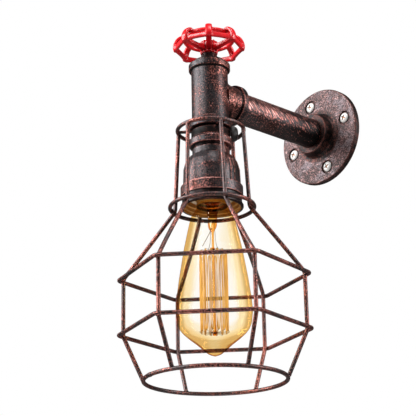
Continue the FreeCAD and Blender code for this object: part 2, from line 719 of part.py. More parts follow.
def make_spindle():
    body = new_body("switch_spindle")
    sketch = draw_circle(new_sketch(body, "rod_outline", "XY_Plane"), "0", "0", "spindle_r")
    pad_feature(body, "Pad", "rod", sketch, "knob_far - 2 - spindle_near")
    return aside(body, "spindle_near")


def make_knob():
    thick = "knob_far - knob_near"
    body = turned("switch_knob", (
        ("spindle_r", "0"), ("knob_r * 0.8", "0"), ("knob_r", "1.2"), ("knob_r", f"{thick} - 1.2"),
        ("knob_r - 1.2", thick), ("0", thick), ("0", f"{thick} - 2"), ("spindle_r", f"{thick} - 2"),
    ))
    groove = draw_circle(new_sketch(body, "grip_outline", "XY_Plane"), "knob_r + 0.5", "0", "0.9")
    cut = pad_feature(body, "Pocket", "grip", groove, thick, reverse=True)
    round_pattern(body, cut, "grips", 10)
    return aside(body, "knob_near")


def aside(body, near):
    """Places a body along the knob's direction, its local +Z pointing away from the lamp's axis."""
    spin = Rotation(Vector(0, 0, 1), size("knob_turn")) * Rotation(Vector(0, 1, 0), 90)
    return place(body, spin, x=f"{near} * cos(knob_turn)", y=f"{near} * sin(knob_turn) - wall_distance",
                 z="-knob_down")


nodes += [make_switch_housing(), make_spindle(), make_knob()]

# ---------------------------------------------------------------- lamp holder


def make_holder_cap():
    return on_lamp_axis(turned("holder_cap", (
        ("nipple_r", "cap_down"), ("cap_top_r", "cap_down"), ("cap_r", "cap_down + 2"),
        ("cap_r", "cap_end - 0.6"), ("cap_r - 0.6", "cap_end"), ("spigot_r", "cap_end"),
        ("spigot_r", "cap_floor"), ("nipple_r", "cap_floor"),
    )), DOWN)


def make_holder_shell():
    body = turned("holder_shell", (
        ("spigot_r - shell_wall", "cap_floor"),
        ("spigot_r", "cap_floor"),
        ("spigot_r", "cap_end"),
        ("spigot_r + 0.6", "cap_end + groove_wide"),
        ("neck_r", "cap_end + groove_wide + 0.4"),
        ("neck_r", "neck_down"),
        ("neck_r + 0.9", "neck_down + 0.7"),
        ("neck_r + 3.6", "neck_down + 2.4"),
        ("shoulder_r", "shoulder_down"),
        ("body_r - 0.6", "shoulder_down + 3.4"),
        ("body_r - 0.2", "shoulder_down + 8"),
        ("body_r", "body_down"),
        ("body_r - shell_wall", "body_down"),
        ("body_r - shell_wall - 0.2", "shoulder_down + 9"),
        ("shoulder_r - shell_wall", "shoulder_down + 1"),
        ("spigot_r - shell_wall", "neck_down + 0.6"),
    ))
    rib = draw_outline(new_sketch(body, "rib_outline"), (
        ("body_r - 1.6", "shoulder_down + 4"), ("body_r - 0.4", "shoulder_down + 1.6"),
        ("rib_out_r - 0.6", "shoulder_down + 3.4"), ("rib_out_r", "shoulder_down + 7"),
        ("rib_out_r", "body_down"), ("body_r - 0.6", "body_down"),
    ))
    pad = pad_feature(body, "Pad", "rib", rib, "shell_rib_wide", both_ways=True)
    round_pattern(body, pad, "ribs", 4)
    return on_lamp_axis(body, DOWN)


def make_holder_skirt():
    return on_lamp_axis(turned("holder_skirt", (
        ("insulator_flange_r", "body_down"),
        ("belt_r - 0.5", "body_down"),
        ("belt_r", "body_down + 0.5"),
        ("belt_r", "body_down + belt_high - 0.5"),
        ("belt_r - 0.5", "body_down + belt_high"),
        ("skirt_r", "body_down + belt_high"),
        ("skirt_r + 0.3", "skirt_down - bead_high - 0.6"),
        ("bead_r", "skirt_down - bead_high"),
        ("bead_r", "skirt_down - 0.5"),
        ("bead_r - 0.5", "skirt_down"),
        ("skirt_bore_r + 1.6", "skirt_down"),
        ("skirt_bore_r", "skirt_down - 4"),
        ("skirt_bore_r", "body_down + insulator_flange_high"),
        ("insulator_flange_r", "body_down + insulator_flange_high"),
    )), DOWN)


nodes += [make_holder_cap(), make_holder_shell(), make_holder_skirt()]

# ---------------------------------------------------------------- socket inside the holder


def make_insulator():
    return on_lamp_axis(turned("socket_insulator", (
        ("rivet_r", "insulator_down"),
        ("insulator_r - 1", "insulator_down"),
        ("insulator_r", "insulator_down + 1"),
        ("insulator_r", "body_down"),
        ("insulator_flange_r", "body_down"),
        ("insulator_flange_r", "body_down + insulator_flange_high"),
        ("insulator_r", "body_down + insulator_flange_high"),
        ("insulator_r", "insulator_end"),
        ("socket_r", "insulator_end"),
        ("socket_r", "plate_down"),
        ("rivet_r", "plate_down"),
    )), DOWN)


def make_screw_shell():
    low, high = "insulator_end - 0.4", "plate_down"
    inner = "socket_r - shell_sheet"
    return on_lamp_axis(turned("socket_screw_shell", (
        ("socket_r - 4", high), ("socket_r", high), ("socket_r", low), (inner, low),
        (inner, f"{high} + shell_sheet"), ("socket_r - 4", f"{high} + shell_sheet"),
    )), DOWN)


def make_centre_contact():
    return on_lamp_axis(turned("centre_contact", (
        ("0", "insulator_down - 1"), ("rivet_r", "insulator_down - 1"), ("rivet_r", "plate_down"),
        ("contact_r", "plate_down"), ("contact_r", "plate_down + 0.8"), ("contact_r - 2", "plate_down + 2.2"),
        ("contact_r - 2", "tip_down"), ("0", "tip_down"),
    )), DOWN)


def make_terminals():
    block = new_body("terminal_block")
    sketch = new_sketch(block, "block_outline", "XY_Plane")
    draw_outline(sketch, (
        ("rivet_r", "-terminal_long / 2"), ("rivet_r + terminal_wide", "-terminal_long / 2"),
        ("rivet_r + terminal_wide", "terminal_long / 2"), ("rivet_r", "terminal_long / 2"),
    ))
    pad_feature(block, "Pad", "block", sketch, "terminal_high")
    base = {"y": "-wall_distance", "z": "-insulator_down"}
    return copies("socket_terminals", block, [(Rotation(Vector(0, 0, 1), a), base) for a in (0, 180)])


def make_leads():
    """Two leads from the connector block in the pipe, round the tee and down to the terminals."""
    lead = new_body("lead")
    path = bent_path(new_sketch(lead, "lead_path", "YZ_Plane"), (
        ("-block_out - block_long", "0"), ("-wall_distance", "0"),
        ("-wall_distance", "-insulator_down + terminal_high"),
    ), "lead_bend")
    section = draw_outline(new_sketch(lead, "lead_section", "XZ_Plane"), wire_section("0", "0", "lead_r"))
    section.setExpression("AttachmentOffset.Base.z", bound("block_out + block_long"))
    doc.recompute()
    swept(lead, "lead_pipe", path, section)
    return copies("lamp_leads", lead, [(UP, {"x": "lead_apart"}), (UP, {"x": "-lead_apart"})])


def make_connector():
    body = new_body("connector_block")
    sketch = new_sketch(body, "connector_outline", "XY_Plane")
    low = "-sqrt(pipe_bore_r ^ 2 - block_half_wide ^ 2)"
    draw_outline(sketch, (
        ("-block_half_wide", low), ("block_half_wide", low),
        ("block_half_wide", f"{low} + block_high"), ("-block_half_wide", f"{low} + block_high"),
    ))
    sketch.setExpression("AttachmentOffset.Base.z", bound("block_out"))
    pad_feature(body, "Pad", "connector", sketch, "block_long")
    return place(body, OUT)


nodes += [make_insulator(), make_screw_shell(), make_centre_contact(), make_terminals()]
nodes += [make_connector(), make_leads()]

# ---------------------------------------------------------------- cage

TOP_END = ("top_ring_r + wire_r * 0.05", "top_ring_down + wire_r")
RING_SLOPE = "atan((wide_r - low_ring_r) / (low_ring_down - lower_hex_down))"


def make_upright():
    """One upright of the cage, bent in its own plane, with +Z down."""
    body = new_body("upright")
    path = bent_path(new_sketch(body, "upright_path"), (
        TOP_END,
        ("neck_bend_r", "neck_bend_down"),
        ("wide_r", "upper_hex_down"),
        ("wide_r", "lower_hex_down"),
        (f"low_ring_r + ring_seat * sin({RING_SLOPE})", f"low_ring_down - ring_seat * cos({RING_SLOPE})"),
    ), "upright_bend")
    section = new_sketch(body, "upright_section", "XY_Plane")
    draw_outline(section, wire_section(TOP_END[0], "0", "wire_r"))
    section.setExpression("AttachmentOffset.Base.z", bound(TOP_END[1]))
    doc.recompute()
    swept(body, "upright_wire", path, section)
    return body


def make_hexagon(name, down):
    """A ring of wire bent to a hexagon, its corners outside the uprights."""
    body = new_body(name)
    corners = polygon(6, "hex_r", 30)
    middle = ("hex_r * cos(30)", "0")
    path = bent_path(new_sketch(body, name + "_path", "XY_Plane"), [middle, *corners, middle], "hex_bend")
    section = draw_outline(new_sketch(body, name + "_section"), wire_section(*middle, "wire_r"))
    doc.recompute()
    swept(body, name + "_wire", path, section)
    return on_lamp_axis(body, UP, "cage_turn - 30", z=f"-({down})")


def make_uprights():
    """Six nodes, each a link to the one upright, turned about the lamp's axis."""
    original = make_upright()
    links = []
    for i in range(6):
        link = doc.addObject("App::Link", f"cage_upright_{i + 1}")
        link.LinkedObject = original
        link.LinkTransform = False
        link.Label = f"cage_upright_{i + 1}"
        links.append(on_lamp_axis(link, DOWN, f"cage_turn + {60 * i}"))
    return links


top_ring = ring("cage_top_ring", "top_ring_r", "wire_r", "top_ring_down")
nodes += [top_ring, make_spider(top_ring)]
nodes.append(ring("cage_neck_ring", "neck_bend_r + 2 * wire_r + 0.25", "wire_r", "neck_bend_down - 1.1"))
nodes.append(ring("cage_bottom_ring", "low_ring_r", "wire_r", "low_ring_down"))
nodes.append(make_hexagon("cage_upper_hexagon", "upper_hex_down + 1"))
nodes.append(make_hexagon("cage_lower_hexagon", "lower_hex_down - 1"))
nodes += make_uprights()

# ---------------------------------------------------------------- bulb


def make_bulb_cap():
    inner = "cap_screw_r - cap_sheet"
    return on_lamp_axis(turned("bulb_cap", (
        ("cap_neck_r", "cap_screw_down"), ("cap_screw_r - 1", "cap_screw_down"),
        ("cap_screw_r", "cap_screw_down + 1"), ("cap_screw_r", "cap_end_down"), (inner, "cap_end_down"),
        (inner, "cap_screw_down + 1.2"), ("cap_screw_r - 1.2", "cap_screw_down + cap_sheet"),
        ("cap_neck_r", "cap_screw_down + cap_sheet"),
    )), DOWN)


def make_bulb_insulator():
    return on_lamp_axis(turned("bulb_cap_insulator", (
        ("0", "tip_down + 2.6"), ("tip_r", "tip_down + 2.6"), ("tip_r + 0.8", "tip_down + 2.2"),
        ("cap_neck_r", "cap_screw_down"), ("cap_neck_r", "cap_screw_down + cap_sheet"),
        ("0", "cap_screw_down + cap_sheet"),
    )), DOWN)


def make_bulb_tip():
    return on_lamp_axis(turned("bulb_tip_contact", (
        ("0", "tip_down"), ("tip_r - 1.4", "tip_down"), ("tip_r", "tip_down + 1.4"),
        ("tip_r", "tip_down + 2.6"), ("0", "tip_down + 2.6"),
    )), DOWN)


# radius and depth of the bulb's outline, as shares of its widest radius and of neck to nose
BULB_LINE = (
    (0.580, 0.000), (0.655, 0.090), (0.770, 0.236), (0.905, 0.455), (0.970, 0.590), (1.000, 0.680),
    (0.962, 0.763), (0.901, 0.804), (0.820, 0.832), (0.660, 0.871), (0.475, 0.910), (0.322, 0.947),
    (0.172, 0.983),
)
LINE_LONG = size("(bulb_tip_down - bulb_neck_down) / bulb_r")


def glass_line(inset):
    """The bulb's outline (radius, depth) from its neck to its nose, moved inwards by inset."""
    line = [(f"bulb_r * {r}", f"bulb_neck_down + {d} * (bulb_tip_down - bulb_neck_down)")
            for r, d in BULB_LINE]
    line.insert(0, ("cap_screw_r - cap_sheet", "cap_end_down + 1.5"))
    line.insert(0, ("cap_screw_r - cap_sheet", "cap_end_down - 5"))
    if inset == "0":
        return line
    padded = (BULB_LINE[0], *BULB_LINE, BULB_LINE[-1])
    leans = [0, 0] + [math.atan2(b[0] - a[0], (a[1] - b[1]) * LINE_LONG) for b, a in zip(padded, padded[2:])]
    return [(f"{r} - {inset} * {math.cos(t):.3f}", f"{d} - {inset} * {math.sin(t):.3f}")
            for (r, d), t in zip(line, leans)]


def make_bulb_glass():
    outer = [*glass_line("0"), ("0", "bulb_tip_down")]
    inner = [*glass_line("glass_wall"), ("0", "bulb_tip_down - 1.3 * glass_wall")]
    return on_lamp_axis(turned("bulb_glass", outer + inner[::-1]), DOWN)


def make_bulb_stem():
    neck = "cap_screw_r - cap_sheet - glass_wall"
    return on_lamp_axis(turned("bulb_stem", (
        ("0", "cap_end_down - 4"), (neck, "cap_end_down - 4"), (neck, "cap_end_down - 2"),
        ("stem_glass_r", "cap_end_down + 5"), ("stem_glass_r", "stem_glass_down - 6"),
        ("rod_r", "stem_glass_down"), ("rod_r", "filament_low_down + 1.5"), ("0", "filament_low_down + 1.5"),
    )), DOWN)


def make_filament_hooks():
    """Two wheels of thin wires that stand out from the stem's rod and carry the strands."""
    body = new_body("filament_hooks")
    for name, down in (("upper", "filament_top_down"), ("lower", "filament_low_down")):
        turn_feature(body, "Revolution", name + "_boss", (
            ("rod_r", f"{down} - 0.8"), ("rod_r + 0.8", f"{down} - 0.8"), ("rod_r + 0.8", f"{down} + 0.8"),
            ("rod_r", f"{down} + 0.8"),
        ))
        wire = new_sketch(body, name + "_hook_outline", "YZ_Plane")
        draw_outline(wire, [(f"{x} * filament_wire_r * 0.85", f"{down} + {y} * filament_wire_r * 0.85")
                            for x, y in ((-1, -1), (1, -1), (1, 1), (-1, 1))])
        wire.setExpression("AttachmentOffset.Base.z", bound("rod_r + 0.4"))
        hook = pad_feature(body, "Pad", name + "_hook", wire, "filament_r - filament_wire_r - rod_r - 0.4")
        round_pattern(body, hook, name + "_hooks", STRANDS)
    return on_lamp_axis(body, DOWN, "360 / strands")


def make_filament():
    """Upright strands between the hooks, as separate solids in one node."""
    strand = new_body("strand")
    sketch = draw_outline(new_sketch(strand, "strand_outline", "XY_Plane"), polygon(8, "filament_wire_r"))
    pad_feature(strand, "Pad", "strand_wire", sketch, "filament_low_down - filament_top_down + 1.2")
    return copies("filament", strand, [
        (DOWN, {
            "x": f"filament_r * cos({i + 1} * 360 / strands)",
            "y": f"filament_r * sin({i + 1} * 360 / strands) - wall_distance",
            "z": "0.6 - filament_top_down",
        })
        for i in range(STRANDS)
    ])


nodes += [make_bulb_cap(), make_bulb_insulator(), make_bulb_tip(), make_bulb_glass(), make_bulb_stem()]
nodes += [make_filament_hooks(), make_filament()]

# ---------------------------------------------------------------- checks and export

doc.recompute()
broken = [o.Label for o in doc.Objects if "Invalid" in o.State or "Error" in o.State]
shapes = {node.Label: Part.getShape(node) for node in nodes}
for label, shape in shapes.items():
    if shape.isNull() or not shape.isValid() or not shape.Solids:
        broken.append(label)
if broken:
    raise RuntimeError(f"not built: {sorted(set(broken))}")

os.makedirs("parts", exist_ok=True)
for label, shape in shapes.items():
    shape.exportStep(f"parts/{label}.step")
    box = shape.BoundBox
    print(f"{label}: {len(shape.Solids)} solid, {shape.Volume:.1f} mm3, x {box.XMin:.1f}..{box.XMax:.1f}, "
          f"y {box.YMin:.1f}..{box.YMax:.1f}, z {box.ZMin:.1f}..{box.ZMax:.1f}")
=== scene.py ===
"""Looks of the industrial pipe wall light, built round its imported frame.

Lengths in this file are millimetres until a mesh is made. The lamp hangs from the tee, whose axis
stands LAMP_OUT in front of the wall; "down" is a depth below the tee's axis and "out" a distance
from the wall. Every shape is a grid of points worked out as whole arrays.
"""
import math

import bmesh
import bpy
import numpy as np
from mathutils import Matrix, Vector


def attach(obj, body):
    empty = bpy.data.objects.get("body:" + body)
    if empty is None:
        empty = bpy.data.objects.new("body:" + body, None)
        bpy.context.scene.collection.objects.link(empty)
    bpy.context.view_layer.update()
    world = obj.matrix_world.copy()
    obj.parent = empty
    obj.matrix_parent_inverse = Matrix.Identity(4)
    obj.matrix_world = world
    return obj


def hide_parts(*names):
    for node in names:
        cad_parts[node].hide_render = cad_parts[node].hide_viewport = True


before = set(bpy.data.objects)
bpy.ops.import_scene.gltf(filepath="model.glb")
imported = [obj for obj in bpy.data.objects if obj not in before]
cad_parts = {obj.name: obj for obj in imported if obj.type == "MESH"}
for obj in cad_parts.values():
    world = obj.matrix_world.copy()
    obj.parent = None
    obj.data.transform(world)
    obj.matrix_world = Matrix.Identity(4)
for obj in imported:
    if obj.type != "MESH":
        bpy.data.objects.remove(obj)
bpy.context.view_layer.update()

MM = 0.001
LAMP_OUT = 141.7
TURN = 2 * math.pi
rng = np.random.default_rng(7)

# ---------------------------------------------------------------- curves in a plane


def rounded(corners, closed=True, step=12.0):
    """Points of an outline whose corners (x, y, radius) are replaced by arcs.

    An arc of the stated radius touches both sides of its corner; it gets one point for each
    `step` degrees that it turns, and a corner of radius 0 stays one point.
    """
    points = []
    count = len(corners)
    for i, (x, y, *radius) in enumerate(corners):
        here = np.array([x, y], float)
        if not radius or not radius[0] or (not closed and i in (0, count - 1)):
            points.append(here[None])
            continue
        back = np.array(corners[i - 1][:2], float) - here
        ahead = np.array(corners[(i + 1) % count][:2], float) - here
        reach_limit = 0.49 * min(np.linalg.norm(back), np.linalg.norm(ahead))
        back, ahead = back / np.linalg.norm(back), ahead / np.linalg.norm(ahead)
        half = math.acos(np.clip(back @ ahead, -1, 1)) / 2
        if half > math.pi / 2 - 1e-3:
            points.append(here[None])
            continue
        reach = min(radius[0] / math.tan(half), reach_limit)
        bend = reach * math.tan(half)
        middle = here + (back + ahead) / np.linalg.norm(back + ahead) * bend / math.sin(half)
        first, last = here + back * reach - middle, here + ahead * reach - middle
        sweep = math.pi - 2 * half
        n = max(2, int(math.degrees(sweep) / step) + 1)
        share = np.linspace(0, 1, n + 1)[:, None]
        arc = np.sin((1 - share) * sweep) * first + np.sin(share * sweep) * last
        points.append(middle + arc / math.sin(sweep))
    return np.vstack(points)


def along(points, count):
    """The same open line with `count` points at even distances along it."""
    steps = np.linalg.norm(np.diff(points, axis=0), axis=1)
    reached = np.concatenate([[0], np.cumsum(steps)])
    wanted = np.linspace(0, reached[-1], count)
    return np.stack([np.interp(wanted, reached, axis) for axis in points.T], axis=1)


def smooth_line(points, count):
    """A soft line through a few points: cubic Hermite pieces with slopes from the neighbours."""
    points = np.asarray(points, float)
    slopes = np.gradient(points, axis=0)
    place = np.linspace(0, len(points) - 1, count)
    left = np.minimum(place.astype(int), len(points) - 2)
    t = (place - left)[:, None]
    a, b, u, v = points[left], points[left + 1], slopes[left], slopes[left + 1]
    return ((2 * t**3 - 3 * t**2 + 1) * a + (t**3 - 2 * t**2 + t) * u
            + (3 * t**2 - 2 * t**3) * b + (t**3 - t**2) * v)


def step_up(x, low, high):
    """0 below low, 1 above high, and 3t^2 - 2t^3 between."""
    t = np.clip((x - low) / (high - low), 0, 1)
    return t * t * (3 - 2 * t)


# ---------------------------------------------------------------- grids of points

DOWN, UP, OUT = "down", "up", "out"


def spun(profile, frame_axis=DOWN, sides=144, swell=None):
    """Grid of a profile (radius, height) carried round an axis.

    Point = (radius cos a, radius sin a, height), laid along the lamp's axis downwards or upwards,
    or along the pipe's axis out from the wall. swell(angle, height) adds to the radius.
    """
    angle = np.arange(sides) * TURN / sides
    radius = np.repeat(profile[None, :, 0], sides, 0)
    height = np.repeat(profile[None, :, 1], sides, 0)
    if swell is not None:
        radius = np.maximum(radius + swell(angle[:, None], height), 0)
    a, b = radius * np.cos(angle)[:, None], radius * np.sin(angle)[:, None]
    if frame_axis == OUT:
        return np.stack([a, -height, b], axis=-1)
    return np.stack([a, b - LAMP_OUT, -height if frame_axis == DOWN else height], axis=-1)


def tube(line, radius, up, sides=14, closed=False):
    """Grid of a round wire along a line of points.

    At each point the ring lies in the plane of `up` and (tangent x up), at the given radius,
    which may be one number or one for each point.
    """
    if closed:
        tangent = np.roll(line, -1, 0) - np.roll(line, 1, 0)
    else:
        tangent = np.gradient(line, axis=0)
    tangent = tangent / np.linalg.norm(tangent, axis=1)[:, None]
    up = np.broadcast_to(np.asarray(up, float), line.shape)
    side = np.cross(tangent, up)
    side /= np.linalg.norm(side, axis=1)[:, None]
    lift = np.cross(side, tangent)
    angle = np.arange(sides) * TURN / sides
    ring = np.cos(angle)[None, :, None] * side[:, None] + np.sin(angle)[None, :, None] * lift[:, None]
    return line[:, None] + np.broadcast_to(radius, len(line))[:, None, None] * ring


def capped(grid):
    """A tube's grid with both ends drawn in to a point, through a small rounded edge."""
    ends = []
    for ring, inner in ((grid[0], grid[1]), (grid[-1], grid[-2])):
        middle = ring.mean(0)
        away = middle - inner.mean(0)
        away = away / np.linalg.norm(away) * np.linalg.norm(ring[0] - middle) * 0.3
        ends.append([middle[None] + away + 0 * ring, middle + (ring - middle) * 0.75 + away * 0.8])
    head, tail = ends
    return np.concatenate([np.stack(head), grid, np.stack(tail[::-1])])


def sweep_plate(line, half_wide, half_thick, up, power=4.0, sides=24):
    """Grid of a bar with a rounded rectangular section, a superellipse |x/a|^p + |y/b|^p = 1."""
    tangent = np.gradient(line, axis=0)
    tangent /= np.linalg.norm(tangent, axis=1)[:, None]
    side = np.cross(tangent, np.broadcast_to(np.asarray(up, float), line.shape))
    side /= np.linalg.norm(side, axis=1)[:, None]
    lift = np.cross(side, tangent)
    angle = np.arange(sides) * TURN / sides
    c, s = np.cos(angle), np.sin(angle)
    size = (np.abs(c) ** power + np.abs(s) ** power) ** (-1 / power)
    wide = np.broadcast_to(half_wide, len(line))[:, None, None]
    thick = np.broadcast_to(half_thick, len(line))[:, None, None]
    across = wide * (c * size)[None, :, None] * side[:, None]
    return line[:, None] + across + thick * (s * size)[None, :, None] * lift[:, None]


def turned_about(grid, degrees):
    """A grid turned about the lamp's axis."""
    c, s = math.cos(math.radians(degrees)), math.sin(math.radians(degrees))
    x, y = grid[..., 0], grid[..., 1] + LAMP_OUT
    return np.stack([x * c - y * s, x * s + y * c - LAMP_OUT, grid[..., 2]], -1)


# ---------------------------------------------------------------- meshes


def make_mesh(name, grids, sharp=35.0, weld=0.004):
    """A mesh from grids (rows, columns, 3) in mm.

    An entry is a grid whose columns close to a ring, or (grid, wrap rows, wrap columns). Each cell of
    a grid is one quad. Points closer than `weld` become one, faces are turned outwards, and edges
    that turn more than `sharp` degrees stay crisp.
    """
    points, quads, base = [], [], 0
    for entry in grids:
        grid, wrap_rows, wrap_columns = entry if isinstance(entry, tuple) else (entry, False, True)
        rows, columns = grid.shape[:2]
        index = np.arange(rows * columns).reshape(rows, columns) + base
        if wrap_rows:
            index = np.vstack([index, index[:1]])
        if wrap_columns:
            index = np.hstack([index, index[:, :1]])
        cells = [index[:-1, :-1], index[1:, :-1], index[1:, 1:], index[:-1, 1:]]
        quads.append(np.stack(cells, -1).reshape(-1, 4))
        points.append(grid.reshape(-1, 3))
        base += rows * columns
    points, quads = np.vstack(points) * MM, np.vstack(quads)
    mesh = bpy.data.meshes.new(name)
    mesh.vertices.add(len(points))
    mesh.vertices.foreach_set("co", points.ravel())
    mesh.loops.add(quads.size)
    mesh.loops.foreach_set("vertex_index", quads.ravel().astype(np.int32))
    mesh.polygons.add(len(quads))
    mesh.polygons.foreach_set("loop_start", np.arange(0, quads.size, 4, dtype=np.int32))
    mesh.update(calc_edges=True)
    work = bmesh.new()
    work.from_mesh(mesh)
    bmesh.ops.remove_doubles(work, verts=work.verts, dist=weld * MM)
    bmesh.ops.dissolve_degenerate(work, edges=work.edges, dist=weld * MM / 4)
    bmesh.ops.recalc_face_normals(work, faces=work.faces)
    work.to_mesh(mesh)
    work.free()
    mesh.validate()
    mesh.shade_smooth()
    mesh.set_sharp_from_angle(angle=math.radians(sharp))
    return mesh


def mark_wear(mesh, spread=2):
    """Stores how strongly the surface bends at each vertex, in 1/m, as the attribute "bend".

    Along an edge d from a vertex with normal n the bend is -2 n.d / |d|^2: positive on a corner
    that a hand or a brush reaches, negative in a nook. Each vertex takes the mean of its edges,
    and `spread` rounds of averaging with the neighbours widen the mark a little.
    """
    count = len(mesh.vertices)
    place, normal = np.empty(count * 3), np.empty(count * 3)
    mesh.vertices.foreach_get("co", place)
    mesh.vertices.foreach_get("normal", normal)
    place, normal = place.reshape(-1, 3), normal.reshape(-1, 3)
    ends = np.empty(len(mesh.edges) * 2, np.int32)
    mesh.edges.foreach_get("vertices", ends)
    a, b = ends.reshape(-1, 2).T
    way = place[b] - place[a]
    length = np.maximum((way * way).sum(1), 1e-12)
    total, share = np.zeros(count), np.zeros(count)
    for here, sign in ((a, 1), (b, -1)):
        np.add.at(total, here, -2 * sign * (normal[here] * way).sum(1) / length)
        np.add.at(share, here, 1)
    bend = np.clip(total / np.maximum(share, 1), -3000, 3000)
    for _ in range(spread):
        total = bend * share
        np.add.at(total, a, bend[b])
        np.add.at(total, b, bend[a])
        bend = total / np.maximum(2 * share, 1)
    layer = mesh.attributes.new("bend", "FLOAT", "POINT")
    layer.data.foreach_set("value", bend.astype(np.float32))


def mark_shade(mesh, rule):
    """Stores rule(x, y, z), worked out from all vertices in mm, as the attribute "shade"."""
    place = np.empty(len(mesh.vertices) * 3)
    mesh.vertices.foreach_get("co", place)
    value = rule(*(place.reshape(-1, 3) / MM).T)
    mesh.attributes.new("shade", "FLOAT", "POINT").data.foreach_set("value", value.astype(np.float32))


def piece(name, grids, finish, rides="lamp", replaces=(), sharp=35.0, spread=2):
    """A finished piece: mesh, finish, the body that it moves with and the CAD nodes that it stands for."""
    mesh = grids if isinstance(grids, bpy.types.Mesh) else make_mesh(name, grids, sharp)
    mark_wear(mesh, spread)
    made = bpy.data.objects.new(name, mesh)
    bpy.context.scene.collection.objects.link(made)
    mesh.materials.clear()
    mesh.materials.append(finish)
    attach(made, rides)
    if replaces:
        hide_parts(*replaces)
    return made


# ---------------------------------------------------------------- shader maths


class Signal:
    """A socket of a node tree that takes part in sums and products with sockets and numbers."""

    def __init__(self, finish, socket):
        self.finish, self.socket = finish, socket

    def maths(self, operation, *others, clamp=False):
        inputs = dict(enumerate((self, *others)))
        return self.finish.node("Math", {"operation": operation, "use_clamp": clamp}, inputs)

    def __add__(self, other):
        return self.maths("ADD", other)

    __radd__ = __add__

    def __mul__(self, other):
        return self.maths("MULTIPLY", other)

    __rmul__ = __mul__

    def __sub__(self, other):
        return self.maths("SUBTRACT", other)

    def __rsub__(self, other):
        return self.maths("MULTIPLY_ADD", -1.0, other)

    def above(self, low, high):
        """0 below low, 1 above high, smooth between; high may be less than low."""
        return self.finish.node("MapRange", {"interpolation_type": "SMOOTHSTEP"},
                                {"Value": self, "From Min": low, "From Max": high})

    def held(self):
        """The same value kept between 0 and 1."""
        return self.maths("ADD", 0.0, clamp=True)


class Finish:
    """A material under construction; `node` adds any node and gives one of its outputs."""

    def __init__(self, name):
        self.material = bpy.data.materials.new(name)
        self.material.use_nodes = True
        self.tree = self.material.node_tree
        self.tree.nodes.clear()
        self.place = self.node("TexCoord", out="Object")

    def node(self, kind, settings=None, inputs=None, out=0):
        made = self.tree.nodes.new("ShaderNode" + kind)
        for key, value in (settings or {}).items():
            setattr(made, key, value)
        for key, value in (inputs or {}).items():
            socket = made.inputs[key]
            if isinstance(value, Signal):
                self.tree.links.new(value.socket, socket)
            elif isinstance(value, tuple) and socket.type == "RGBA" and len(value) == 3:
                socket.default_value = (*value, 1)
            else:
                socket.default_value = value
        return Signal(self, made.outputs[out])

    def along(self, axis):
        """The object's own coordinate "X", "Y" or "Z", in metres."""
        return self.node("SeparateXYZ", {}, {0: self.place}, out=axis)

    def moved(self, scale, turn=(0, 0, 0), shift=(0, 0, 0)):
        """Coordinates that are turned (degrees) and shifted, then stretched by a scale per metre."""
        turned = self.node("Mapping", {"vector_type": "POINT"}, {
            "Vector": self.place, "Rotation": tuple(math.radians(t) for t in turn), "Location": shift})
        return self.node("VectorMath", {"operation": "MULTIPLY"}, {0: turned, 1: tuple(scale)})

    def noise(self, where, detail=3.0, rough=0.55, warp=0.0):
        return self.node("TexNoise", {}, {
            "Vector": where, "Scale": 1.0, "Detail": detail, "Roughness": rough, "Distortion": warp})

    def attribute(self, name):
        return self.node("Attribute", {"attribute_name": name}, out="Fac")

    def mix(self, share, first, second):
        """Colour between two colours."""
        return self.node("Mix", {"data_type": "RGBA"}, {0: share, 6: first, 7: second}, out=2)

    def bump(self, height, reach, strength):
        """A normal that stands up by `reach` mm where the height is 1."""
        return self.node("Bump", {}, {"Height": height, "Distance": reach * MM, "Strength": strength})

    def surface(self, **values):
        """Ends the tree with a Principled shader; a name's underscores stand for spaces."""
        inputs = {key.replace("_", " "): value for key, value in values.items()}
        return self.ends(self.node("BsdfPrincipled", {}, inputs))

    def ends(self, shader):
        """Ends the tree with a shader and gives the finished material."""
        made = self.tree.nodes.new("ShaderNodeOutputMaterial")
        self.tree.links.new(shader.socket, made.inputs["Surface"])
        return self.material


# ---------------------------------------------------------------- finishes

COPPER = (0.42, 0.135, 0.105)
PALE_COPPER = (0.72, 0.40, 0.36)
# Near-black: the iron's pits, the iron where the paint fades towards the wall, and painted shade in nooks,
# below the holder's belt, round the flange's hub and on the switch collar.
IRON_BLACK_AND_SHADE = (0.006, 0.005, 0.005)
BROWN = (0.045, 0.018, 0.015)
CAST_GREY = (0.068, 0.060, 0.063)
# Painted glow: the bulb's amber light reflected on the inner wall of the holder's mouth.
GLOW = (0.95, 0.60, 0.24)


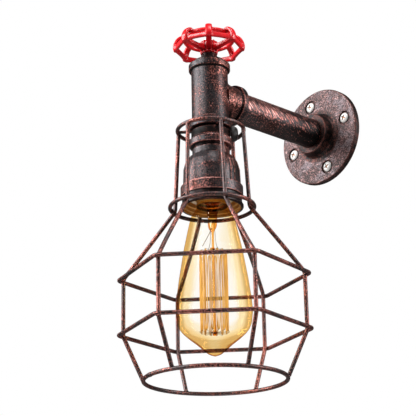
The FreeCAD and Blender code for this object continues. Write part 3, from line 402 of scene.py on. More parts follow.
def rubbed_iron(name, amount, streak=(1, 1, 1), streak_turn=(0, 0, 0), edge=(250, 900), sheen=0.36,
                brushed=1.0, ground=CAST_GREY, fades=0.0, pits=1.0, calm=0.0, grains=1.0):
    """Dark cast iron rubbed over with copper paint.

    Paint level = grain and grit (times `grains`) + broad clouds + brush streaks, higher on edges
    (attribute "bend") and lower in nooks, where painted shade then turns the colour black; the iron's grains
    stand up in the bump. `pits` says how black the hollows between the grains are, `fades` takes the paint
    away from the tee towards the wall and, as painted shade, below the pipe, and `calm` takes out the clouds.
    The attribute "shade" is 1 where painted shade turns the metal black and -1 where a painted glow of the
    bulb's amber light colours the metal.
    """
    f = Finish(name)
    fine = f.noise(f.moved((820,) * 3), detail=2.0, rough=0.65)
    grit = f.noise(f.moved((1900,) * 3, shift=(0.3, 0.1, 0.7)), detail=1.0)
    cloud = f.noise(f.moved((36, 36, 36), shift=(0.05, 0.2, 0.1)), detail=2.0, warp=0.3)
    brush = f.noise(f.moved(tuple(700 * s for s in streak), turn=streak_turn), detail=3.0, rough=0.55)
    bend, mark = f.attribute("bend"), f.attribute("shade")
    worn, nook = bend.above(*edge), bend.above(-60, -420)
    level = (fine - 0.5) * (2.7 * grains) + (grit - 0.5) * (1.7 * grains)
    level = level + (cloud - 0.5) * 1.7 + (brush - 0.5) * brushed
    level = level + worn * 0.62 - nook * 0.9 + (amount - 0.5)
    # Painted shade takes the paint away where the attribute "shade" is 1.
    level = level + (0.5 - cloud) * calm - mark.above(0.0, 1.0) * 0.45
    if fades:
        kept = f.along("Y").above(-0.016, -0.088)
        # Painted shade: less paint on the pipe's underside, below its axis.
        low = f.along("Z").above(-0.002, -0.011)
        level = level - (1 - kept) * fades - low * 0.50
    paint = level.above(0.0, 0.34)
    strong = (level + worn * 0.15).above(0.40, 1.0)
    base = f.mix((cloud + worn * 0.3).above(0.35, 0.70), ground, BROWN)
    if fades:
        base = f.mix(kept, IRON_BLACK_AND_SHADE, base)
    colour = f.mix(strong, f.mix(paint, base, COPPER), PALE_COPPER)
    deep = (fine * 0.6 + grit * 0.4 + worn * 0.1).above(0.49, 0.41) * (0.95 * pits)
    # Painted shade: nooks go black.
    colour = f.mix(nook, f.mix(deep, colour, IRON_BLACK_AND_SHADE), IRON_BLACK_AND_SHADE)
    # Painted shade: black where the attribute "shade" is 1.
    colour = f.mix(mark.above(0.2, 0.9) * 0.8, colour, IRON_BLACK_AND_SHADE)
    # Painted glow of the bulb's amber light where the attribute "shade" is -1.
    colour = f.mix(mark.above(-0.2, -0.9) * 0.9, colour, GLOW)
    height = fine * 0.7 + grit * 0.5 + paint * 0.15
    return f.surface(
        Base_Color=colour, Metallic=0.9, Roughness=sheen + paint * 0.08 - (cloud - 0.5) * 0.15,
        Normal=f.bump(height, 0.26, 0.95), Coat_Weight=0.10, Coat_Roughness=0.25)


def flange_face():
    """Copper-grey wash over cast iron: blotches of grey and dusty pink under fine dark specks, with
    painted shade, black with a few copper specks, where the attribute "shade" is 1, round the hub and in the
    counterbores."""
    f = Finish("flange_wash")
    fine = f.noise(f.moved((1150,) * 3), detail=3.0, rough=0.7)
    cloud = f.noise(f.moved((95,) * 3), detail=4.0, rough=0.6, warp=0.6)
    patch = f.noise(f.moved((240,) * 3, shift=(0.2, 0.4, 0.9)), detail=3.0)
    worn = f.attribute("bend").above(150, 700)
    # Painted shade mask, broken up by patches.
    shade = (f.attribute("shade") + (patch - 0.5) * 0.5).above(0.25, 0.75)
    wash = f.mix(cloud.above(0.40, 0.60), (0.130, 0.100, 0.108), (0.250, 0.120, 0.112))
    wash = f.mix((patch + worn * 0.4).above(0.52, 0.78), wash, (0.46, 0.27, 0.25))
    specks = (fine + (cloud - 0.5) * 0.4 - worn * 0.12).above(0.42, 0.50)
    washed = f.mix(worn * 0.15, f.mix(specks, wash, (0.020, 0.012, 0.012)), COPPER)
    rubbed = ((fine + (patch - 0.5) * 0.6).above(0.52, 0.60) * 0.26 + worn * 0.20).held()
    # Colour of the painted shade: black, with the real copper rub in specks and on edges.
    shade_with_copper_specks = f.mix(rubbed, IRON_BLACK_AND_SHADE, COPPER)
    return f.surface(
        Base_Color=f.mix(shade, washed, shade_with_copper_specks), Metallic=0.75, Roughness=fine * 0.25 + 0.30,
        Normal=f.bump(fine * 0.7 - specks * 0.5, 0.18, 0.7), Coat_Weight=0.05, Coat_Roughness=0.3)


def red_enamel():
    """Thick red gloss over a casting: soft waves, a few pits, and painted shade as darker red in the nooks.
    """
    f = Finish("red_enamel")
    wave = f.noise(f.moved((210,) * 3), detail=2.5)
    cast = f.noise(f.moved((900,) * 3), detail=2.0)
    nook = f.attribute("bend").above(-60, -420)
    # Painted shade: darker red in the nooks, with soft random waves.
    shade = (nook * 0.8 + wave.above(0.3, 0.8) * 0.3).held()
    return f.surface(
        Base_Color=f.mix(shade, (0.78, 0.005, 0.012), (0.24, 0.001, 0.003)), Roughness=cast * 0.12 + 0.30,
        Coat_Weight=0.30, Coat_Roughness=0.12, Specular_IOR_Level=0.35,
        Normal=f.bump(wave * 0.9 + cast * 0.25, 0.30, 0.5))


def metal(name, colour, rough, tint=None, stripe=(900, 900, 900)):
    """Plain metal: fine drawing marks along one direction, a slow change of tone, and painted shade: darker
    in the nooks.
    """
    f = Finish(name)
    marks = f.noise(f.moved(stripe), detail=3.0)
    tone = f.noise(f.moved((120,) * 3), detail=2.0)
    nook = f.attribute("bend").above(-100, -900)
    dull = tuple(c * 0.55 for c in colour)
    shade = f.mix(tone.above(0.3, 0.8) * 0.5, colour, tint or dull)
    # Painted shade: darker colour in the nooks.
    return f.surface(Base_Color=f.mix(nook, shade, dull), Metallic=1.0, Roughness=marks * 0.2 + (rough - 0.1),
                     Normal=f.bump(marks, 0.03, 0.5))


def screw_zinc():
    """White zinc plate on a screw head, with a brown stain at the bottom of the cross."""
    f = Finish("screw_zinc")
    tone = f.noise(f.moved((700,) * 3), detail=3.0)
    plated = f.mix(tone.above(0.35, 0.7) * 0.5, (0.92, 0.91, 0.88), (0.70, 0.68, 0.66))
    return f.surface(
        Base_Color=f.mix(f.attribute("shade"), plated, (0.30, 0.10, 0.02)), Metallic=0.2,
        Roughness=tone * 0.2 + 0.25, Normal=f.bump(tone, 0.03, 0.4))


def moulded(name, colour, rough, speck=None):
    """Moulded or glazed material: faint grain, and specks of a second colour where given."""
    f = Finish(name)
    grain = f.noise(f.moved((1700,) * 3), detail=2.0)
    tone = f.noise(f.moved((130,) * 3), detail=2.0)
    shade = f.mix(tone.above(0.3, 0.8) * 0.4, colour, tuple(c * 0.6 for c in colour))
    if speck:
        shade = f.mix((grain + (tone - 0.5) * 0.5).above(0.572, 0.692), shade, speck)
    return f.surface(Base_Color=shade, Roughness=grain * 0.15 + (rough - 0.07),
                     Normal=f.bump(grain, 0.05, 0.5))


def see_through(name, tones, places, gleam, gloss, tip):
    """Thin coloured glass: constant tints of see-through shader, deeper where the view runs along
    the wall and from the first to the second depth of `tip`, under a clear reflection that grows
    towards the edges. The attribute "inside" leaves the inner face of a double wall quite clear, so
    that the tint counts once for each wall."""
    f = Finish(name)
    lean = f.node("LayerWeight", {}, {"Blend": 0.5}, out="Facing")
    streak = f.noise(f.moved((75, 75, 9)), detail=1.0)
    lean = lean + (streak - 0.5) * 0.26 + (f.along("Z") * -1.0).above(*tip) * 0.26
    shader = f.node("BsdfTransparent", {}, {"Color": tones[0]})
    for low, high, tone in zip(places[::2], places[1::2], tones[1:]):
        deeper = f.node("BsdfTransparent", {}, {"Color": tone})
        shader = f.node("MixShader", {}, {0: lean.above(low, high), 1: shader, 2: deeper})
    shine = f.node("BsdfAnisotropic", {}, {
        "Color": gloss, "Roughness": 0.03, "Normal": f.bump(streak, 0.3, 0.2)})
    share = f.node("LayerWeight", {}, {"Blend": gleam}, out="Fresnel")
    shader = f.node("MixShader", {}, {0: share * 0.22, 1: shader, 2: shine})
    clear = f.node("BsdfTransparent", {}, {"Color": (1, 1, 1)})
    return f.ends(f.node("MixShader", {}, {0: f.attribute("inside"), 1: shader, 2: clear}))


def strand_with_painted_glow():
    """Carbon strand with a warm tone, as it shows through amber glass, and a painted glow: it emits its own
    colour.
    """
    f = Finish("filament_strand_glow")
    tone = f.noise(f.moved((400, 400, 60)), detail=2.0)
    colour = f.mix(tone.above(0.3, 0.7), (0.46, 0.22, 0.035), (0.72, 0.42, 0.09))
    # Painted glow: the strand emits its own colour.
    return f.surface(Base_Color=colour, Roughness=0.45, Metallic=0.3, Emission_Color=colour,
                     Emission_Strength=0.30)


TEE_IRON = rubbed_iron("tee_iron", 0.27, streak=(1.2, 0.4, 0.4), streak_turn=(0, 40, 0), brushed=1.2,
                       ground=(0.045, 0.040, 0.043))
PIPE_IRON = rubbed_iron("pipe_iron", 0.58, streak=(1.6, 0.09, 1.6), streak_turn=(45, 0, 0), brushed=6.6,
                        fades=0.60, calm=1.5, grains=0.25, pits=0.4)
BAND_IRON = rubbed_iron("band_iron", 0.42, edge=(150, 600))
HOLDER_IRON = rubbed_iron("holder_iron", 0.28, edge=(150, 600), brushed=0.8)
NUT_IRON = rubbed_iron("nut_iron", 0.16, edge=(300, 1200), ground=(0.05, 0.045, 0.045))
CAGE_PAINT = rubbed_iron("cage_paint", 0.46, streak=(1.0, 1.0, 0.25), edge=(900, 2400), brushed=0.5, pits=0.5,
                         ground=(0.09, 0.07, 0.07))
DARK_IRON = rubbed_iron("dark_iron", 0.05, edge=(300, 900), ground=(0.02, 0.018, 0.018))
# Black iron that stands for the deep shadow under the tee: painted shade.
SHADED_IRON = rubbed_iron("shaded_iron", 0.02, edge=(150, 600), ground=IRON_BLACK_AND_SHADE, sheen=0.5)
FLANGE_WASH = flange_face()
RED = red_enamel()
ZINC = screw_zinc()
STEEL = metal("turned_steel", (0.52, 0.50, 0.48), 0.32, stripe=(300, 300, 2600))
BRIGHT = metal("bright_zinc", (0.72, 0.71, 0.68), 0.26)
BRASS = metal("socket_brass", (0.80, 0.56, 0.22), 0.25, tint=(0.60, 0.36, 0.12))
SOLDER = metal("tip_solder", (0.58, 0.58, 0.57), 0.4)
HOOK_WIRE = metal("hook_wire", (0.30, 0.22, 0.14), 0.35)
PORCELAIN = moulded("porcelain", (0.80, 0.77, 0.70), 0.2)
NYLON = moulded("white_nylon", (0.85, 0.84, 0.80), 0.4)
RUBBER = moulded("black_rubber", (0.015, 0.015, 0.016), 0.5)
KNOB_BLACK = moulded("knob_black", (0.022, 0.019, 0.019), 0.36, speck=(0.16, 0.14, 0.14))
VITRITE = moulded("black_vitrite", (0.012, 0.012, 0.015), 0.15)
AMBER_TONES = [(1.0, 0.985, 0.95), (0.98, 0.875, 0.66), (0.95, 0.73, 0.40), (0.66, 0.36, 0.13)]
AMBER = see_through("amber_glass", AMBER_TONES, (0.16, 0.30, 0.34, 0.58, 0.82, 0.96), 0.16,
                    (1.0, 0.97, 0.90), tip=(0.200, 0.222))
STEM_GLASS = see_through("stem_glass", [(0.97, 0.72, 0.34), (0.93, 0.50, 0.14), (0.66, 0.26, 0.05)],
                         (0.15, 0.5, 0.6, 0.95), 0.25, (1.0, 0.85, 0.6), tip=(0.5, 0.6))
GLOWING_STRAND = strand_with_painted_glow()

# ---------------------------------------------------------------- more outlines


def finely(profile, step, closed=True):
    """The outline with extra points, so that no two neighbours lie further apart than step."""
    ends = np.vstack([profile, profile[:1]]) if closed else profile
    pieces = []
    for a, b in zip(ends, ends[1:]):
        n = max(1, int(math.ceil(np.linalg.norm(b - a) / step)))
        pieces.append(a + (b - a) * (np.arange(n) / n)[:, None])
    return np.vstack(pieces if closed else pieces + [ends[-1:]])


def turned_solid(corners, frame_axis, sides, step):
    """A closed outline of corners (radius, height, arc) carried round an axis."""
    return spun(finely(rounded(corners), step), frame_axis, sides), True, True


def hexagon_nut(across, low, high, bore, turn=0.0):
    """A hexagon nut: radius = flat / cos(angle to the flat's middle), held under a cone at both ends.

    The corners are eased with a soft minimum of the hexagon's radius and a circle just inside them.
    """
    sides, edge, sixth = 144, 0.7, math.radians(60)
    angle = np.arange(sides) * TURN / sides
    flat = across / 2 / np.cos((angle + sixth / 2) % sixth - sixth / 2)
    corner = across / 2 / math.cos(sixth / 2) - 0.09
    flat = -np.log(np.exp(-4 * flat) + np.exp(-4 * corner)) / 4 + 0.02
    cone = across / 2 + 0.25
    end = [(np.full(sides, bore), 0.0), (np.minimum(flat, cone) - 0.1, 0.0),
           (np.minimum(flat, cone + 0.1), 0.15), (np.minimum(flat, cone + edge * 0.7), edge * 0.5),
           (flat, edge)]
    rows = [(r, low + rise) for r, rise in end]
    rows += [(flat, z) for z in np.linspace(low + edge, high - edge, 9)[1:-1]]
    rows += [(r, high - rise) for r, rise in end[::-1]]
    r, z = np.stack([row[0] for row in rows], 1), np.array([row[1] for row in rows])
    a = angle + math.radians(turn)
    grid = np.stack([r * np.cos(a)[:, None], r * np.sin(a)[:, None] - LAMP_OUT,
                     np.repeat(z[None], sides, 0)], -1)
    return grid, True, True


# ---------------------------------------------------------------- flange, screws and pipe

PIPE_R, PIPE_BORE, PIPE_START, PIPE_END = 13.45, 10.8, 4, 124.7
FLANGE_R, HUB_R, HUB_OUT, PLATE = 45.3, 18.7, 17, 5.8
SCREW_CIRCLE, SEAT = 33.15, 1.6
SCREWS = [math.radians(15.1 + 90 * i) for i in range(4)]


def from_screw(x, z):
    """Distance of each point from the axis of the nearest wall screw."""
    away = [np.hypot(x - SCREW_CIRCLE * math.cos(a), z - SCREW_CIRCLE * math.sin(a)) for a in SCREWS]
    return np.min(away, axis=0)


def make_flange():
    """Cast floor flange: a turned outline whose face sinks by a smooth step inside each counterbore."""
    seat_r = PIPE_R + 0.05
    outline = rounded([
        (PIPE_BORE, PIPE_START, 0), (PIPE_BORE, 0, 0.3), (FLANGE_R, 0, 0.4), (FLANGE_R, PLATE, 1.4),
        (HUB_R + 1, PLATE, 3.2), (HUB_R, HUB_OUT, 1.0), (seat_r, HUB_OUT, 0.3), (seat_r, PIPE_START, 0),
    ], step=8)
    grid = spun(finely(outline, 0.55), OUT, 400)
    near, on_face = -from_screw(grid[..., 0], grid[..., 2]), -grid[..., 1] > 1
    sink = np.where(on_face, step_up(near, -6.35, -5.95) * SEAT, 0)
    dish = np.where(on_face, step_up(near, -7.4, -6.2) * 0.22, 0)
    grid[..., 1] += sink + dish * (sink < 0.01)
    made = piece("flange", [(grid, True, True)], FLANGE_WASH, replaces=["wall_flange"],
                 spread=1)

    def flange_painted_shade(x, y, z):
        """Painted shade: 1 round the hub, on the outer side and in the counterbores, 0 on the washed face."""
        r = np.hypot(x, z)
        hub = step_up(-r, -HUB_R - 7.8, -HUB_R - 4.8)
        side = step_up(r, FLANGE_R - 0.6, FLANGE_R - 0.2)
        return np.max([hub, side, step_up(-from_screw(x, z), -6.6, -6.0)], axis=0)

    # Marks where painted shade makes the flange black.
    mark_shade(made.data, flange_painted_shade)


def dome(r):
    """Height of a screw's head over the bottom of its counterbore, at a distance from its axis."""
    return 2.5 - 1.5 * np.clip(r / 4.5, 0, 1) ** 3.4


def screw_grid(angle):
    """One wall screw: a domed head with a cross recess, a neck, and a threaded shank to a point.

    Head height = dome - depth of the deeper of two crossed slots with soft walls.
    Thread radius = core * (1 - depth * |sawtooth(height / pitch - angle / turn)|).
    """
    columns = 96
    a = np.arange(columns) * TURN / columns
    rim = 3.5 + np.sin(np.linspace(0.2, 1, 7) * math.pi / 2)
    r = np.concatenate([[0.0], np.linspace(0.15, 3.5, 26), rim])
    x, y = r[:, None] * np.cos(a), r[:, None] * np.sin(a)
    slots = [step_up(-np.abs(u), -0.78, -0.42) * step_up(-np.abs(v), -2.7, -2.0) for u, v in ((x, y), (y, x))]
    head = np.stack([x, y, dome(r)[:, None] - 1.25 * np.maximum(*slots)], -1)
    under = np.array([(4.45, 0.25), (4.25, 0.02), (1.9, 0.0), (1.9, -4.1), (1.95, -4.3)])
    shank_z, point_z, pitch = np.linspace(-4.4, -12.1, 60), np.linspace(-12.2, -16.1, 36), 1.7
    z = np.concatenate([shank_z, point_z])
    saw = 1 - np.abs((z[:, None] / pitch - a / TURN) % 1 - 0.5) * 2
    core = np.concatenate([np.full(len(shank_z), 2.2), 2.2 * ((point_z + 16.2) / 4.0) ** 0.8])
    thread = core[:, None] * (1 - 0.26 * saw * step_up(-z, 4.4, 6.0)[:, None])
    radius = np.vstack([np.repeat(under[:, :1], columns, 1), thread])
    height = np.concatenate([under[:, 1], z])
    body = np.stack([radius * np.cos(a), radius * np.sin(a), np.repeat(height[:, None], columns, 1)], -1)
    grid = np.concatenate([head, body, np.zeros((1, columns, 3)) + [0, 0, -16.2]])
    spin = rng.uniform(0, math.pi / 2)
    gx = grid[..., 0] * math.cos(spin) - grid[..., 1] * math.sin(spin)
    gy = grid[..., 0] * math.sin(spin) + grid[..., 1] * math.cos(spin)
    return np.stack([SCREW_CIRCLE * math.cos(angle) + gx, -(PLATE - SEAT) - grid[..., 2],
                     SCREW_CIRCLE * math.sin(angle) + gy], -1)


def make_screws():
    """The four wall screws, each turned at random, with a stain in the cross."""
    made = piece("screw_set", [screw_grid(a) for a in SCREWS], ZINC, replaces=["wall_screws"],
                 sharp=50, spread=1)

    def stain(x, y, z):
        """Grows to 1 as a point of the head lies from 0.2 mm to 0.7 mm below its dome."""
        r, rise = from_screw(x, z), -y - (PLATE - SEAT)
        return step_up(dome(r) - rise, 0.2, 0.7) * (rise > 0.6) * (r < 3.2)

    mark_shade(made.data, stain)


def make_pipe():
    """The pipe from the flange's seat into the tee."""
    outline = [(PIPE_BORE, PIPE_START, 0.2), (PIPE_R, PIPE_START, 0.3), (PIPE_R, PIPE_END, 0.3),
               (PIPE_BORE, PIPE_END, 0.2)]
    piece("pipe", [turned_solid(outline, OUT, 160, 1.6)], PIPE_IRON, replaces=["support_pipe"])


# ---------------------------------------------------------------- tee, plug and nut

WHEEL_UP, WHEEL_TURN, STEM_BORE, PLUG_TOP = 41.0, -42.75, 3.25, 33.0
REACH, TEE_R, TEE_BORE, BAND_R, BAND_WIDE, FILLET = 30.0, 15.75, 13.5, 17.9, 5.2, 4.0


def mouth(side, wide=BAND_WIDE):
    """Corners (radius, along) of one banded mouth of the tee, from its body to its end face."""
    ends = [(TEE_R, REACH - wide - 0.7, 0.9), (BAND_R, REACH - wide, 0.8), (BAND_R, REACH, 0.8),
            (TEE_BORE, REACH, 0.3)]
    return [(r, side * a, arc) for r, a, arc in ends]


def make_tee():
    """The cast tee: run and branch as turned outlines, and the strip between them that a ball of the
    fillet's radius f rolls out between two equal cylinders of radius R, whose centre runs along
    ((R + f) cos t, |(R + f) sin t|, (R + f) sin t)."""
    run = turned_solid(mouth(1) + mouth(-1, BAND_WIDE + 2.4)[::-1], UP, 160, 0.8)
    branch_line = [(r, LAMP_OUT - a, arc) for r, a, arc in mouth(1)]
    branch_line += [(TEE_BORE, LAMP_OUT - 8, 0), (TEE_R, LAMP_OUT - 8, 0)]
    branch = turned_solid(branch_line, OUT, 160, 0.8)
    t = np.arange(240) * TURN / 240
    x, z = (TEE_R + FILLET) * np.cos(t), (TEE_R + FILLET) * np.sin(t)
    centre = np.stack([x, np.abs(z), z], -1)
    scale = TEE_R / (TEE_R + FILLET)
    on_run = np.stack([x * scale, np.abs(z) * scale, z], -1) - centre
    on_branch = np.stack([x * scale, np.abs(z), z * scale], -1) - centre
    opening = np.arccos(np.clip((on_run * on_branch).sum(-1) / FILLET**2, -1, 1))
    opening = np.maximum(opening, 1e-3)[:, None, None]
    share = np.linspace(0, 1, 13)[None, :, None]
    arc = np.sin((1 - share) * opening) * on_run[:, None] + np.sin(share * opening) * on_branch[:, None]
    inner = centre + (on_run + on_branch) * 0.62
    inner[:, 0] *= 0.985
    strip = np.concatenate([centre[:, None] + arc / np.sin(opening), inner[:, None]], 1)
    strip[..., 1] -= LAMP_OUT
    piece("tee", [run, branch, (strip, True, True)], TEE_IRON, replaces=["pipe_tee"],
          sharp=40)


def make_top_fittings():
    """The plug in the tee's upper mouth, and the black nut on it."""
    plug = [(STEM_BORE, REACH - 12, 0), (13.4, REACH - 12, 0.5), (13.4, REACH, 0), (14.6, REACH, 0.2),
            (14.6, PLUG_TOP, 1.0), (STEM_BORE, PLUG_TOP, 0.3)]
    piece("top_cap", [turned_solid(plug, UP, 128, 0.8)], DARK_IRON, replaces=["top_plug"])
    nut = hexagon_nut(12.4, PLUG_TOP, WHEEL_UP - 0.4, STEM_BORE, WHEEL_TURN)
    piece("bonnet_nut", [nut], NUT_IRON, replaces=["stem_nut"])


# ---------------------------------------------------------------- handwheel

HUB_HIGH, RECESS_UP, RECESS_R, SHAFT_R = 10.8, 8.2, 6.5, 2.6
RIM_R, RIM_UP, RING_R, RING_UP, SIDE = 30.7, 6.0, 20.8, 13.9, math.radians(45)
SPOKES = (0, 1, 4, 7)


def plate_grid(outline, centre, half):
    """A flat plate of an outline (radius, height) with thickness 2 half and eased edges, closed by
    fans from a point that sees the whole outline."""
    ease = 0.9
    away = outline - np.array(centre, float)
    reach = np.linalg.norm(away, axis=1)[:, None]
    edge = ((half, 1.0), (half, ease / reach), (half - 0.4 * ease, 0.25 * ease / reach), (half - ease, 0.0))
    rows = []
    for depth, inset in [(-depth, inset) for depth, inset in edge] + list(edge[::-1]):
        line = centre + away * (1 - inset)
        rows.append(np.column_stack([line[:, 0], np.full(len(line), depth), line[:, 1]]))
    return np.stack(rows)


def fused(name, grids, voxel, rounds):
    """One skin over several closed grids: a voxel mesh of `voxel` mm, eased by `rounds` of smoothing.

    The grids are in mm here, so that the voxels are well above Blender's smallest size.
    """
    rough = bpy.data.objects.new(name + "_rough", make_mesh(name + "_rough", grids))
    rough.data.transform(Matrix.Scale(1 / MM, 4))
    bpy.context.scene.collection.objects.link(rough)
    shell = rough.modifiers.new("shell", "REMESH")
    shell.mode, shell.voxel_size = "VOXEL", voxel
    ease = rough.modifiers.new("ease", "SMOOTH")
    ease.factor, ease.iterations = 0.5, rounds
    bpy.context.view_layer.update()
    skin = bpy.data.meshes.new_from_object(rough.evaluated_get(bpy.context.evaluated_depsgraph_get()))
    bpy.data.objects.remove(rough)
    skin.transform(Matrix.Scale(MM, 4))
    skin.name = name
    skin.shade_smooth()
    return skin


def wheel_hub():
    """Hub with fifteen flutes on its outside, 1.2 |cos 7.5a|^0.8 deep, and a recess in its top."""
    outline = finely(rounded([
        (SHAFT_R, 0, 0), (7.7, 0, 0.8), (8.8, 5.5, 4), (8.4, HUB_HIGH, 0.9), (RECESS_R, HUB_HIGH, 0.5),
        (RECESS_R, RECESS_UP, 0.2), (SHAFT_R, RECESS_UP, 0)]), 0.5)

    def flutes(angle, height):
        depth = 1.2 * np.abs(np.cos(7.5 * angle)) ** 0.8
        return np.where((height > 0.2) & (height < HUB_HIGH - 0.3), -depth, 0)

    grid = spun(outline, UP, 300, flutes)
    bore = np.hypot(grid[..., 0], grid[..., 1] + LAMP_OUT) < RECESS_R + 0.1
    grid[bore] = spun(outline, UP, 300)[bore]
    return grid + [0, LAMP_OUT, 0], True, True


def wheel_rims():
    """The eight-sided rim, whose radius = flat / cos(angle to the side's middle), thicker at its
    corners, and the round ring above it."""
    a = np.arange(512) * TURN / 512
    s = np.arange(20) * TURN / 20
    to_middle = np.minimum(np.abs(a % SIDE - SIDE / 2), math.radians(21.6))
    outer = RIM_R * math.cos(SIDE / 2) / np.cos(to_middle)
    corner = (np.cos(a % SIDE / SIDE * TURN) * 0.5 + 0.5)[:, None]
    across = np.sign(np.cos(s)) * np.abs(np.cos(s)) ** 0.6
    rise = np.sign(np.sin(s)) * np.abs(np.sin(s)) ** 0.6
    radius = outer[:, None] - 1.6 + 1.6 * across
    height = RIM_UP - 0.2 * corner + (2.25 + 0.3 * corner) * rise
    rim = np.stack([radius * np.cos(a)[:, None], radius * np.sin(a)[:, None], height], -1)
    ring_line = np.stack([RING_R * np.cos(a[::2]), RING_R * np.sin(a[::2]), np.full(256, RING_UP)], -1)
    return [(rim, True, True), (tube(ring_line, 1.95, (0, 0, 1), 18, closed=True), True, True)]


def wheel_ribs():
    """Eight arched ribs from rim to ring, and slender spokes where the photograph shows them."""
    arch = smooth_line([(29.0, 4.0), (29.6, 7.0), (28.8, 10.4), (26.8, 13.8), (23.9, 15.7), (21.4, 15.1),
                        (20.6, 13.6)], 60)
    line = np.column_stack([arch[:, 0], np.zeros(60), arch[:, 1]])
    half = 2.85 + 0.35 * np.linspace(-1, 1, 60) ** 2
    rib = capped(sweep_plate(line, 1.75, half, (0, 1, 0), power=3.2))
    web = rounded([(3.6, 2.0, 0), (10, 2.0, 4), (29.4, 3.8, 1.0), (29.6, 7.6, 1.2), (25.5, 6.7, 2),
                   (14, 6.0, 4), (9, 7.2, 2), (3.6, 7.2, 0)], step=10)
    spoke = plate_grid(finely(web, 0.6), (19.0, 4.6), 2.4)
    grids = []
    for i in range(8):
        c, s = math.cos(SIDE * i), math.sin(SIDE * i)
        for grid in [rib, spoke] if i in SPOKES else [rib]:
            grids.append(np.stack([grid[..., 0] * c - grid[..., 1] * s, grid[..., 0] * s + grid[..., 1] * c,
                                   grid[..., 2]], -1))
    return grids


def make_wheel():
    """The cast wheel, fused round its own axis with the foot of its hub at 0, then put on its stem."""
    skin = fused("valve_wheel", [wheel_hub(), *wheel_rims(), *wheel_ribs()], 0.40, 4)
    skin.transform(Matrix.Translation((0, -LAMP_OUT * MM, WHEEL_UP * MM))
                   @ Matrix.Rotation(math.radians(WHEEL_TURN), 4, "Z"))
    piece("valve_wheel", skin, RED, rides="wheel", replaces=["handwheel"], spread=3)


def make_wheel_fastening():
    """The nut in the hub's recess."""
    top = WHEEL_UP + RECESS_UP
    piece("wheel_cap_nut", [hexagon_nut(9.0, top + 0.8, top + 5.3, SHAFT_R)], STEEL, rides="wheel",
          replaces=["wheel_nut"])


# ---------------------------------------------------------------- switch and lamp holder

SPIDER, CAP_TOP, CAP_END, NECK_END, BELT, MOUTH = 31.6, 38.8, 46.2, 54.6, 82.0, 100.5
NIPPLE_HOLE, KNOB_DOWN, KNOB_TURN = 5.0, 34.4, math.radians(45)


def make_switch():
    """The dark collar under the tee, and the ribbed knob, whose axis points to the right and back
    towards the wall."""
    collar = [(NIPPLE_HOLE, SPIDER, 0), (16.5, SPIDER, 1.2), (16.5, CAP_TOP, 0.6), (NIPPLE_HOLE, CAP_TOP, 0)]
    # The collar's black finish is painted shade, the shadow under the tee.
    piece("switch_collar", [turned_solid(collar, DOWN, 128, 0.8)], SHADED_IRON, replaces=["switch_housing"])
    line = rounded([(2.0, 17.0, 0), (6.4, 17.0, 0.6), (7.0, 18.2, 0.8), (6.9, 19.8, 1.6), (5.4, 22.3, 1.8),
                    (3.0, 23.2, 1.5), (0.0, 23.3, 0)], closed=False)
    line = finely(line, 0.3, closed=False)
    a = np.arange(192)[:, None] * TURN / 192
    radius = line[:, 0] - 0.22 * np.abs(np.sin(18 * a)) ** 0.7 * step_up(line[:, 0], 4.4, 5.6)
    out, across, height = line[:, 1] + 0 * a, radius * np.cos(a), radius * np.sin(a)
    c, s = math.cos(KNOB_TURN), math.sin(KNOB_TURN)
    grid = np.stack([out * c - across * s, out * s + across * c - LAMP_OUT, height - KNOB_DOWN], -1)
    piece("switch_dial", [(grid, True, False)], KNOB_BLACK, rides="switch", replaces=["switch_knob"],
          spread=1)


PANEL = -55.0  # direction of the middle of the body's front panel


def panels(angle, down):
    """Three broad panels a third of a turn apart, and a narrow framed rib between each two."""
    third = TURN / 3
    turn = (angle - math.radians(PANEL) + third / 2) % third - third / 2
    beside = np.abs(np.abs(turn) - third / 2) * 23
    panel = step_up(-np.abs(turn), -0.56, -0.52) * step_up(down, NECK_END + 0.2, NECK_END + 1.8)
    rib = step_up(-beside, -3.0, -2.5) * step_up(down, NECK_END + 5.4, NECK_END + 7.0)
    return np.maximum(panel, rib * (0.4 + 0.6 * step_up(beside, 1.1, 1.5))) * 1.1


def make_holder_top():
    """The holder's cap, an open cup over the neck of the body."""
    cap = [(NIPPLE_HOLE, CAP_TOP, 0), (17.2, CAP_TOP, 0.9), (18.3, CAP_TOP + 1.9, 0.8), (18.3, CAP_END, 0.9),
           (14.6, CAP_END, 0.3), (14.6, CAP_TOP + 2.2, 0), (NIPPLE_HOLE, CAP_TOP + 2.2, 0)]
    piece("holder_top", [turned_solid(cap, DOWN, 160, 0.5)], BAND_IRON, replaces=["holder_cap"])


def make_holder_body():
    """The holder's body: a turned shell whose outside is raised by the panels and ribs."""
    shell = [
        (12.8, CAP_TOP + 2.2, 0), (14.5, CAP_TOP + 2.2, 0), (14.5, CAP_END + 1.7, 0.4),
        (15.9, CAP_END + 2.7, 0.6), (15.9, NECK_END, 0.6), (18.6, NECK_END + 1.4, 1.0),
        (21.4, NECK_END + 7.2, 4.0), (22.9, NECK_END + 13, 5.0), (23.4, BELT, 0.2), (21.6, BELT, 0.2),
        (21.3, NECK_END + 16, 3), (19.6, NECK_END + 8, 3), (12.8, NECK_END + 0.6, 1),
    ]
    sides = 400
    grid = spun(finely(rounded(shell), 0.75), DOWN, sides)
    down, radius = -grid[..., 2], np.hypot(grid[..., 0], grid[..., 1] + LAMP_OUT)
    middle = np.interp(down, (NECK_END, NECK_END + 1.4, NECK_END + 8, BELT), (14.5, 16.4, 20.6, 22.4))
    raised = panels(np.arange(sides)[:, None] * TURN / sides, down)
    stretch = 1 + np.where((radius > middle) & (down < BELT - 0.05), raised, 0) / radius
    x, y = grid[..., 0] * stretch, (grid[..., 1] + LAMP_OUT) * stretch - LAMP_OUT
    grid = np.stack([x, y, grid[..., 2]], -1)
    piece("holder_body", [(grid, True, True)], HOLDER_IRON, replaces=["holder_shell"])


